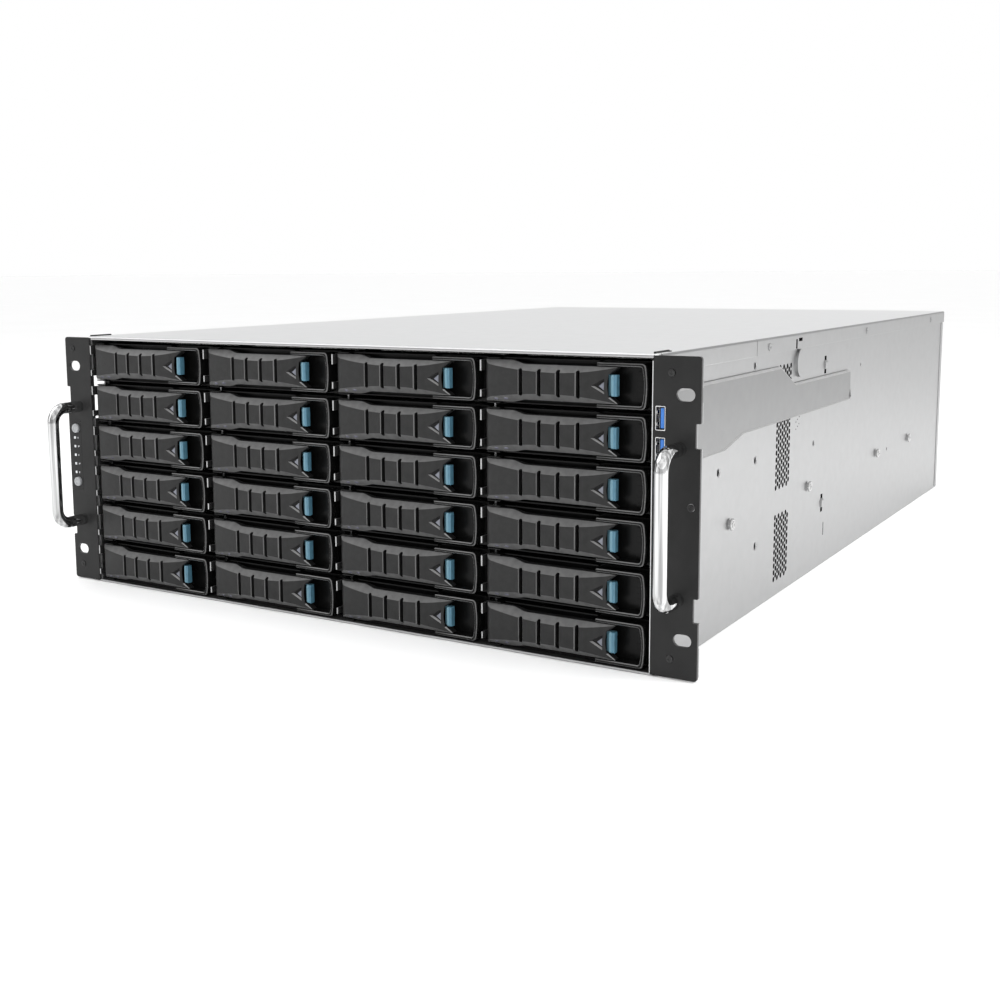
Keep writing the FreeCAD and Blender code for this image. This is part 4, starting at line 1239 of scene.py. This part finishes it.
def sled_shape():
    shape = Shape()
    width = HALF_WIDTH - 0.2
    floor_holes = [slot(x, y, 26, 12) for x in (-30, 0, 30) for y in (60, 110, 155)]
    sheet = rectangle((-width, width), (BEZEL_BACK, SLED_BACK))
    plate(shape, "z", sheet, -HALF_HEIGHT, DRIVE_LOW, floor_holes)
    rail = [(BEZEL_BACK, DRIVE_LOW), (SLED_BACK, DRIVE_LOW), (SLED_BACK, RAIL_TOP - 6, 3),
            (SLED_BACK - 8, RAIL_TOP, 3), (BEZEL_BACK, RAIL_TOP)]
    holes = [circle(y, -2.0, 2.2, 16) for y in (60, 101.5, 161.5)]
    holes += [slot(y, 3.0, 16, 4) for y in (45, 81, 131)]
    for side in (-1, 1):
        plate(shape, "x", rounded(rail, 0, 4), *sorted((side * DRIVE_HALF, side * width)), holes)
    return shape


def drive_shape():
    shape = Shape()
    body = rounded(rectangle((-DRIVE_HALF, DRIVE_HALF), (DRIVE_FRONT, DRIVE_BACK)), 2.5, 4)
    plate(shape, "z", body, DRIVE_LOW, DRIVE_TOP - 2.2)
    inset = DRIVE_HALF - 2.0
    lid = rounded(rectangle((-inset, inset), (DRIVE_FRONT + 3, DRIVE_BACK - 22)), 7, 5)
    plate(shape, "z", lid, DRIVE_TOP - 2.2, DRIVE_TOP - 0.8, (), 1)
    plate(shape, "z", circle(0, 82, 40, 48), DRIVE_TOP - 0.8, DRIVE_TOP - 0.2, (), 1)
    box(shape, (-24, DRIVE_BACK - 4, DRIVE_LOW + 2), (24, DRIVE_BACK, DRIVE_LOW + 7), 2)
    return shape


bezel = model("tray_bezel", bezel_shape(), [GLOSS_BLACK, BLACK_HIGHLIGHT], 0.1)
lever_looks = [CHARCOAL, ARROW_HIGHLIGHT, GLOSS_BLACK, CHARCOAL_HIGHLIGHT, LIT_CHARCOAL_TOP, LIT_CHARCOAL_UNDER]
lever = model("tray_lever", lever_shape(), lever_looks, 0, lever_cuts(), 30)
arrow = model("tray_arrow", arrow_lens_shape(), LENS)
pipes = model("tray_light_pipes", light_pipe_shape(), PIPE)
latch = model("tray_latch", latch_shape(), [BLUE, SHADED_BLUE])
sled = model("tray_sled", sled_shape(), SLED_STEEL, 0.15)
drive = model("tray_drive", drive_shape(), [DRIVE_METAL, SCREW, BLACK_PLASTIC], 0.4)

for row in range(1, ROW_COUNT + 1):
    for column in range(1, COLUMN_COUNT + 1):
        bay = f"r{row}c{column}"
        place = (COLUMN_PITCH * (column - 2.5), 0, row_z(ROW_COUNT - row))
        tray_body = f"tray_{bay}"
        own = [f"lever_{bay}"], [f"latch_{bay}"]
        swinging, sliding = own if column == WORKING_COLUMN else ([], [])
        lever_body = (swinging or [tray_body])[0]
        latch_body = (sliding or [tray_body])[0]
        copy_to(f"bezel_{bay}", bezel, place, tray_body, "tray_charcoal", tray_body)
        copy_to(f"sled_{bay}", sled, place, tray_body)
        copy_to(f"drive_{bay}", drive, place, tray_body)
        copy_to(f"lever_arm_{bay}", lever, place, lever_body, "tray_charcoal", *swinging)
        copy_to(f"lever_arrow_{bay}", arrow, place, lever_body)
        copy_to(f"lever_lights_{bay}", pipes, place, lever_body)
        copy_to(f"latch_pad_{bay}", latch, place, latch_body, "latch_blue", *sliding)
for pattern in (bezel, lever, arrow, pipes, latch, sled, drive):
    bpy.data.objects.remove(pattern)


# Rear panel: windows for the board, the cards and the supplies, and honeycomb fields for the air.

PANEL_FRONT = REAR - SHEET
BOARD_WINDOW = rectangle((-49.4, 109.35), (12.0, 56.45))
SUPPLY_WINDOW = rectangle((135.8, 212.0), (2.4, 85.2))
CARDS = [-66.0 - 20.32 * number for number in range(7)]
CARD_WINDOW = (14.0, 116.0)
CARD_HALF = 6.5
BLANK_HALF = 9.2
BLANK_BACK = PANEL_FRONT - 1.2
PANEL_SCREWS = ((-208.0, 119.0), (128.0, 119.0), (121.5, 8.0), (-208.0, 8.0), (206.0, 119.0))
AIR_PITCH = 6.1
AIR_RADIUS = 2.85
AIR_FIELDS = [((-44 + 39 * number, -14 + 39 * number), (70, 116)) for number in range(4)]
AIR_FIELDS += [((-198 + 39 * number, -168 + 39 * number), (126, 162)) for number in range(10)]


def honeycomb(u, v, pitch, radius):
    """Six-sided holes in staggered columns that fill a field."""
    step = pitch * math.sqrt(0.75)
    columns = int((u[1] - u[0] - 2 * radius) / step) + 1
    rows = int((v[1] - v[0] - 2 * radius - pitch / 2) / pitch) + 1
    first_u = (u[0] + u[1] - step * (columns - 1)) / 2
    first_v = (v[0] + v[1] - pitch * (rows - 0.5)) / 2
    holes = []
    for column in range(columns):
        for row in range(rows):
            v = first_v + pitch * (row + column % 2 / 2)
            holes.append(circle(first_u + step * column, v, radius, 6))
    return holes


def rear_panel_shape():
    shape = Shape()
    holes = [BOARD_WINDOW, SUPPLY_WINDOW]
    holes += [rounded(rectangle((x - CARD_HALF, x + CARD_HALF), CARD_WINDOW), 0.5, 2) for x in CARDS]
    for field in AIR_FIELDS:
        holes += honeycomb(*field, AIR_PITCH, AIR_RADIUS)
    plate(shape, "y", rectangle((-INNER, INNER), (SHEET, LID_UNDER)), PANEL_FRONT, REAR, holes)
    return shape


def slot_cover_shape():
    """Vented blanks behind the card windows, each with a tab held by a screw."""
    shape = Shape()
    low, high = cad("slot_covers")
    for x in CARDS:
        left, right = x - BLANK_HALF, x + BLANK_HALF
        blank = rounded([(left, low.z, 3), (right, low.z, 3), (right, high.z), (left, high.z)], 0, 3)
        holes = []
        for across in (-3.2, 0.0, 3.2):
            holes += [slot(x + across, z, 9.0, 2.6, True) for z in spread(24, 106, 8)]
        plate(shape, "y", blank, BLANK_BACK, PANEL_FRONT - 0.2, holes)
        plate(shape, "z", rectangle((left, right), (low.y, BLANK_BACK)), high.z - 1.0, high.z)
    return shape


fit(model("rear_panel_sheet", rear_panel_shape(), STEEL), "chassis", "galvanised", "rear_panel")
fit(model("slot_cover_sheets", slot_cover_shape(), SLED_STEEL, 0.15), "chassis", "galvanised", "slot_covers")
tab_low, tab_high = cad("slot_covers")
card_screws = [(x, tab_low.y + 5.0, tab_high.z) for x in CARDS]
screws("slot_cover_screws", card_screws, "z", 1, 3.0, 1.6, SCREW, "chassis")
panel_screws = [(x, REAR, z) for x, z in PANEL_SCREWS]
screws("panel_screws", panel_screws, "y", 1, 3.0, 0.9, SCREW, "chassis")


# Supplies: folded case, vented end with the mains inlet, and a pull.

SUPPLY_END = REAR + 0.6
END_SHEET = 1.2
INLET_X = 155.2
INLET_BASE = SUPPLY_END - 17
INLET_PINS = ((-7.0, -3.5), (0.0, 3.5), (7.0, -3.5))
INLET_HALF = (12.2, 8.4)
PULL_X = (173.2, 203.2)
PULL_BAR = 3.0


def blade_set(shape, centre, hub, tip, count, half_chord, half_depth, look=0):
    """Twisted blades about a Y axis. Chord and depth are given at the hub and at the tip."""
    for number in range(count):
        rings = []
        for t in spread(0.0, 1.0, 7):
            radius = hub + (tip - hub) * t
            chord = half_chord[0] + (half_chord[1] - half_chord[0]) * t
            depth = half_depth[0] + (half_depth[1] - half_depth[0]) * t
            lead = math.tau * number / count + 0.25 * t * t
            ring = []
            for side, order in ((-1, spread(-1.0, 1.0, 7)), (1, spread(1.0, -1.0, 7))):
                for s in order:
                    turn = lead + s * chord / radius
                    rise = s * depth + 0.12 * depth * (1 - s * s) + side * 0.8 * (1.05 - s * s) ** 0.5
                    x = centre[0] + radius * math.cos(turn)
                    z = centre[2] + radius * math.sin(turn)
                    ring.append((x, centre[1] + rise, z))
            rings.append(ring)
        loft(shape, rings, look)


def supply_shape(node):
    low, high = cad(node)
    middle = (low.z + high.z) / 2
    outline = rounded(rectangle((low.x, high.x), (low.z, high.z)), 1.0, 3)
    shape = Shape()
    hollow = rounded(rectangle((low.x + 1, high.x - 1), (low.z + 1, high.z - 1)), 0.6, 3)
    # The inner walls of the case are black: painted shade.
    plate(shape, "y", outline, low.y + END_SHEET, SUPPLY_END - END_SHEET, [hollow], 0, 1)
    edge = rectangle((low.x + 22, high.x - 22), (middle - 9, middle - 5))
    plate(shape, "y", outline, low.y, low.y + END_SHEET, [edge])
    vents = []
    feet = (PULL_X[0] + 1.5, PULL_X[1] - 1.5)
    for hole in honeycomb((170.5, 208.0), (middle - 17.5, middle + 17.5), 4.5, 2.1):
        u = sum(p[0] for p in hole) / len(hole)
        v = sum(p[1] for p in hole) / len(hole)
        if abs(v - middle) > 5.6 or min(abs(u - x) for x in feet) > 4.2:
            vents.append(hole)
    window = block(INLET_X, middle, 13.0, 9.2, 1.0)
    # The walls of the vents and the window are black: painted shade.
    plate(shape, "y", outline, SUPPLY_END - END_SHEET, SUPPLY_END, vents + [window], 0, 1)
    across, up = INLET_HALF
    left, right, top = INLET_X - across, INLET_X + across, middle + up
    mouth = [(left, middle - up), (right, middle - up), (right, top - 4), (right - 4, top), (left + 4, top),
             (left, top - 4)]
    plate(shape, "y", window, INLET_BASE, SUPPLY_END + 0.25, [rounded(mouth, 0.8, 3)], 1)
    plate(shape, "y", window, INLET_BASE - 1, INLET_BASE, (), 1)
    for x, z in INLET_PINS:
        pin = block(INLET_X + x, middle + z, 1, 2, 0.5, 2)
        plate(shape, "y", pin, INLET_BASE, SUPPLY_END - 3, (), 2)
    x = sum(PULL_X) / 2
    hub = ((7.0, 0), (8.0, 1.0), (8.0, 9.0), (7.2, 9.8), (1.0, 10.0))
    turned(shape, "y", (x, SUPPLY_END - 14, middle), hub, 24, 1)
    blade_set(shape, (x, SUPPLY_END - 9, middle), 7.6, 17.2, 7, (3.0, 4.6), (4.0, 3.6), 1)
    lamp = ((1.5, 0), (1.5, 0.6), (0.9, 0.9))
    turned(shape, "y", (low.x + 3.4, SUPPLY_END - 0.2, middle + 14), lamp, 14, 3)
    return shape


def pull_shape(node):
    low, high = cad(node)
    middle = (low.z + high.z) / 2
    left, right = PULL_X
    inner = (left + PULL_BAR, right - PULL_BAR)
    foot = SUPPLY_END - 0.6
    loop = [(left, foot), (left, high.y, 7), (right, high.y, 7), (right, foot), (inner[1], foot),
            (inner[1], high.y - PULL_BAR, 4), (inner[0], high.y - PULL_BAR, 4), (inner[0], foot)]
    shape = Shape()
    plate(shape, "z", rounded(loop, 0, 6), middle - 3, middle + 3)
    return shape


supply_looks = [SUPPLY, BLACK_PLASTIC, SOCKET, WHITE_LENS]
for name in ("psu_lower", "psu_upper"):
    fit(model(f"{name}_case", supply_shape(name), supply_looks, 0.12), name, "supply_case", name)
    fit(model(f"{name}_pull", pull_shape(name), BLACK_PLASTIC, 0.9), name)


# Fan wall and its rotors.

FAN_FRONT, FAN_REAR = cad("fan_wall")[0].y, cad("fan_wall")[1].y
FAN_BACK = FAN_FRONT + SHEET
FAN_X = (-132.0, 0.0, 132.0)
FAN_Z = 88.0
FAN_HALF = 60.0
FAN_BORE = 57.5
FAN_FLANGE = 4.5
FAN_BOLT = 52.5
HUB = 22.0


def fan_wall_shape():
    shape = Shape()
    windows = [circle(x, FAN_Z, FAN_BORE - 0.5, 64) for x in FAN_X]
    windows += [slot(x, z, 24, 8, True) for x in (-205.0, -66.0, 66.0, 205.0) for z in (40.0, 88.0, 136.0)]
    plate(shape, "y", rectangle((-213, 213), (SHEET, 172)), FAN_FRONT, FAN_BACK, windows, 1)
    for x in FAN_X:
        square = block(x, FAN_Z, FAN_HALF, FAN_HALF, 7, 6)
        corners = (-FAN_BOLT, FAN_BOLT)
        bolts = [circle(x + a, FAN_Z + b, 2.2, 16) for a in corners for b in corners]
        bore = circle(x, FAN_Z, FAN_BORE, 64)
        front, back = FAN_BACK + FAN_FLANGE, FAN_REAR - FAN_FLANGE
        plate(shape, "y", square, FAN_BACK, front, bolts + [bore])
        plate(shape, "y", square, back, FAN_REAR, bolts + [bore])
        plate(shape, "y", circle(x, FAN_Z, FAN_HALF - 0.3, 64), front, back, [bore])
        plate(shape, "y", circle(x, FAN_Z, HUB, 40), FAN_REAR - 3, FAN_REAR)
        for number in range(4):
            turn = math.tau * (number + 0.5) / 4
            along = Vector((math.cos(turn), math.sin(turn)))
            across = Vector((-along.y, along.x)) * 2.5
            ends = along * (HUB - 2), along * (FAN_BORE + 1)
            spoke = [ends[0] - across, ends[1] - across, ends[1] + across, ends[0] + across]
            plate(shape, "y", [(x + p.x, FAN_Z + p.y) for p in spoke], FAN_REAR - 2.9, FAN_REAR - 0.1)
    return shape


def rotor_shape():
    """A rotor about the origin's Y axis."""
    low, high = cad("fan_rotor_middle")
    shape = Shape()
    turned(shape, "y", (0, low.y, 0), [(18, 0), (20.6, 0.6), (HUB, 2.4), (HUB, high.y - low.y)], 40)
    blade_set(shape, (0, (low.y + high.y) / 2, 0), HUB - 1, 53.5, 5, (9.5, 17.0), (11.5, 9.0))
    return shape


fit(model("fan_wall_frames", fan_wall_shape(), [BLACK_PLASTIC, STEEL]), "chassis", "fan_plastic", "fan_wall")
rotor = model("fan_rotor_pattern", rotor_shape(), BLACK_PLASTIC)
for name, x in zip(("left", "middle", "right"), FAN_X):
    copy_to(f"rotor_{name}", rotor, (x, 0, FAN_Z), f"fan_rotor_{name}", "fan_plastic", f"fan_rotor_{name}")
bpy.data.objects.remove(rotor)


# Backplane: board with air slots, a socket for every drive, and parts on its rear face.

def backplane_shape():
    shape = Shape()
    low, high = cad("backplane")
    front = high.y - 2.0
    columns = [COLUMN_PITCH * (column - 1.5) for column in range(COLUMN_COUNT)]
    holes = []
    for row in range(ROW_COUNT - 1):
        holes += [slot(side * COLUMN_PITCH, row_z(row + 0.5), 184, 10) for side in (-1, 1)]
    holes += [circle(x, z, 1.8, 16) for x in (-207.0, 0.0, 207.0) for z in (9.0, 88.0, 167.0)]
    plate(shape, "y", rectangle((low.x, high.x), (low.z, high.z)), front, high.y, holes)
    for row in range(ROW_COUNT):
        z = row_z(row) - 8
        for x in columns:
            mouth = block(x, z, 20.5, 1.4, 0.4, 2)
            plate(shape, "y", block(x, z, 22, 3, 0.6, 2), low.y, front, [mouth], 1)
            plate(shape, "y", rectangle((x - 20.5, x + 20.5), (z - 0.5, z + 0.3)), low.y + 1.5, front, (), 2)
            box(shape, (x - 9, high.y, z - 1.5), (x + 3, high.y + 1.4, z + 4.0), 1)
    for x in columns:
        for z in (row_z(0) - 2, row_z(3) - 2):
            pins = [circle(x - 26 + a, z, 2.0, 12) for a in (-7.5, -2.5, 2.5, 7.5)]
            plate(shape, "y", block(x - 26, z, 10, 4.5), high.y, high.y + 9, pins, 3)
            for step in range(3):
                turned(shape, "y", (x + 14 + 9 * step, high.y, z), [(3.6, 0), (3.6, 8.6), (3.2, 9.0)], 18, 4)
    return shape


board_looks = [BOARD, BLACK_PLASTIC, GOLD, WHITE_PLASTIC, SOCKET]
fit(model("backplane_board", backplane_shape(), board_looks), "chassis", "circuit_board", "backplane")


# CAD nodes that stay as they are.

for name in ("base_pan", "psu_cage"):
    dress(name, STEEL)


# Stage: floor, lights and camera.

FLOOR_HALF = 60000


def floor():
    shape = Shape()
    plate(shape, "z", block(0, 0, FLOOR_HALF, FLOOR_HALF), -12, -0.4)
    made = model("floor", shape, pale_floor())
    alone = bpy.data.collections.new("floor_only")
    alone.objects.link(made)
    return alone


def world():
    """A white horizon that falls to a dim upper sky, so that bright metal has something to mirror."""
    made = bpy.data.worlds.new("studio")
    bpy.context.scene.world = made
    made.use_nodes = True
    tree = made.node_tree
    part = tree.nodes.new("ShaderNodeSeparateXYZ")
    tree.links.new(tree.nodes.new("ShaderNodeTexCoord").outputs["Generated"], part.inputs["Vector"])
    to_rear = tree.nodes.new("ShaderNodeMapRange")
    tree.links.new(part.outputs["Y"], to_rear.inputs["Value"])
    to_rear.inputs["From Min"].default_value = -1.0

    def levels(source, *stops):
        return ramp(tree, source, [(position, grey(level)) for position, level in stops])

    def times(first, second):
        both = tree.nodes.new("ShaderNodeMix")
        both.data_type = "RGBA"
        both.blend_type = "MULTIPLY"
        both.inputs["Factor"].default_value = 1.0
        tree.links.new(first, both.inputs["A"])
        tree.links.new(second, both.inputs["B"])
        return both

    front = levels(to_rear.outputs["Result"], (0.0, 0.8), (0.40, 0.8), (0.62, 1.0), (1.0, 1.0))
    height = levels(part.outputs["Z"], (0.0, 1.0), (0.24, 1.0), (0.46, 0.32), (1.0, 0.30))
    side = levels(part.outputs["X"], (0.0, 1.0), (0.2, 0.55), (0.5, 0.55), (0.75, 0.9))
    sky = times(times(front, height).outputs["Result"], side)
    rear_only = levels(to_rear.outputs["Result"], (0.42, 0.0), (0.60, 1.0))
    tree.links.new(rear_only, sky.inputs["Factor"])
    tree.links.new(sky.outputs["Result"], tree.nodes["Background"].inputs["Color"])


def light(name, kind, power, direction):
    """A light of some kind that shines in a direction."""
    data = bpy.data.lights.new(name, kind)
    data.energy = power
    made = new_object(name, data)
    made.rotation_euler = Vector(direction).to_track_quat("-Z", "Y").to_euler()
    return made


def soft_light(name, place, target, size, power, receivers):
    """A panel of light that falls only on its receivers."""
    made = light(name, "AREA", power, Vector(target) - Vector(place))
    made.location = place
    made.data.shape = "RECTANGLE"
    made.data.size, made.data.size_y = size
    made.light_linking.receiver_collection = receivers


CAMERA_PLACE = Vector((486.85, -634.3, 222.13)) * MM
CAMERA_TURN = math.radians(31.86)
CAMERA_TILT = math.radians(7.71)
CAMERA_ROLL = math.radians(-0.43)
FOCAL_PIXELS = 1279.93
PICTURE = 1000.0
PICTURE_MIDDLE = (463.48, 442.27)


def camera():
    data = bpy.data.cameras.new("camera")
    made = new_object("camera", data)
    level = math.cos(CAMERA_TILT)
    right = Vector((math.cos(CAMERA_TURN), math.sin(CAMERA_TURN), 0))
    back = Vector((right.y * level, -right.x * level, math.sin(CAMERA_TILT)))
    up = back.cross(right)
    rolled_right = math.cos(CAMERA_ROLL) * right + math.sin(CAMERA_ROLL) * up
    rolled_up = -math.sin(CAMERA_ROLL) * right + math.cos(CAMERA_ROLL) * up
    facing = Matrix((rolled_right, rolled_up, back)).transposed().to_4x4()
    made.matrix_world = Matrix.Translation(CAMERA_PLACE) @ facing
    data.sensor_width = 36.0
    data.lens = FOCAL_PIXELS * data.sensor_width / PICTURE
    data.shift_x = 0.5 - PICTURE_MIDDLE[0] / PICTURE
    data.shift_y = PICTURE_MIDDLE[1] / PICTURE - 0.5
    data.clip_start = 0.01
    data.clip_end = 100
    bpy.context.scene.camera = made


# The floor has lights of its own, and the covers are left to the sky.
floor_only = floor()
world()
sky = light("sky", "SUN", 2.3, (-0.15, 0.1, -1.0))
sky.data.angle = math.radians(130)
not_covers = bpy.data.collections.new("all_but_covers")
for sheet in (front_sheet, rear_sheet):
    not_covers.objects.link(sheet)
for entry in not_covers.collection_objects:
    entry.light_linking.link_state = "EXCLUDE"
soft_light("front_top", (-1.2, -0.4, 1.5), (0, 0, 0.08), (1.3, 1.3), 10, not_covers)
soft_light("front_left", (-1.5, -1.6, 0.8), (0, 0, 0.1), (0.7, 1.2), 3, not_covers)
soft_light("floor_right", (1.3, 0.5, 0.9), (0.42, 0.35, 0.0), (1.0, 1.0), 17, floor_only)
soft_light("floor_front", (-0.3, -1.0, 0.9), (0, -0.3, 0.0), (1.0, 0.6), 5, floor_only)
camera()
bpy.context.scene.view_settings.view_transform = "Standard"
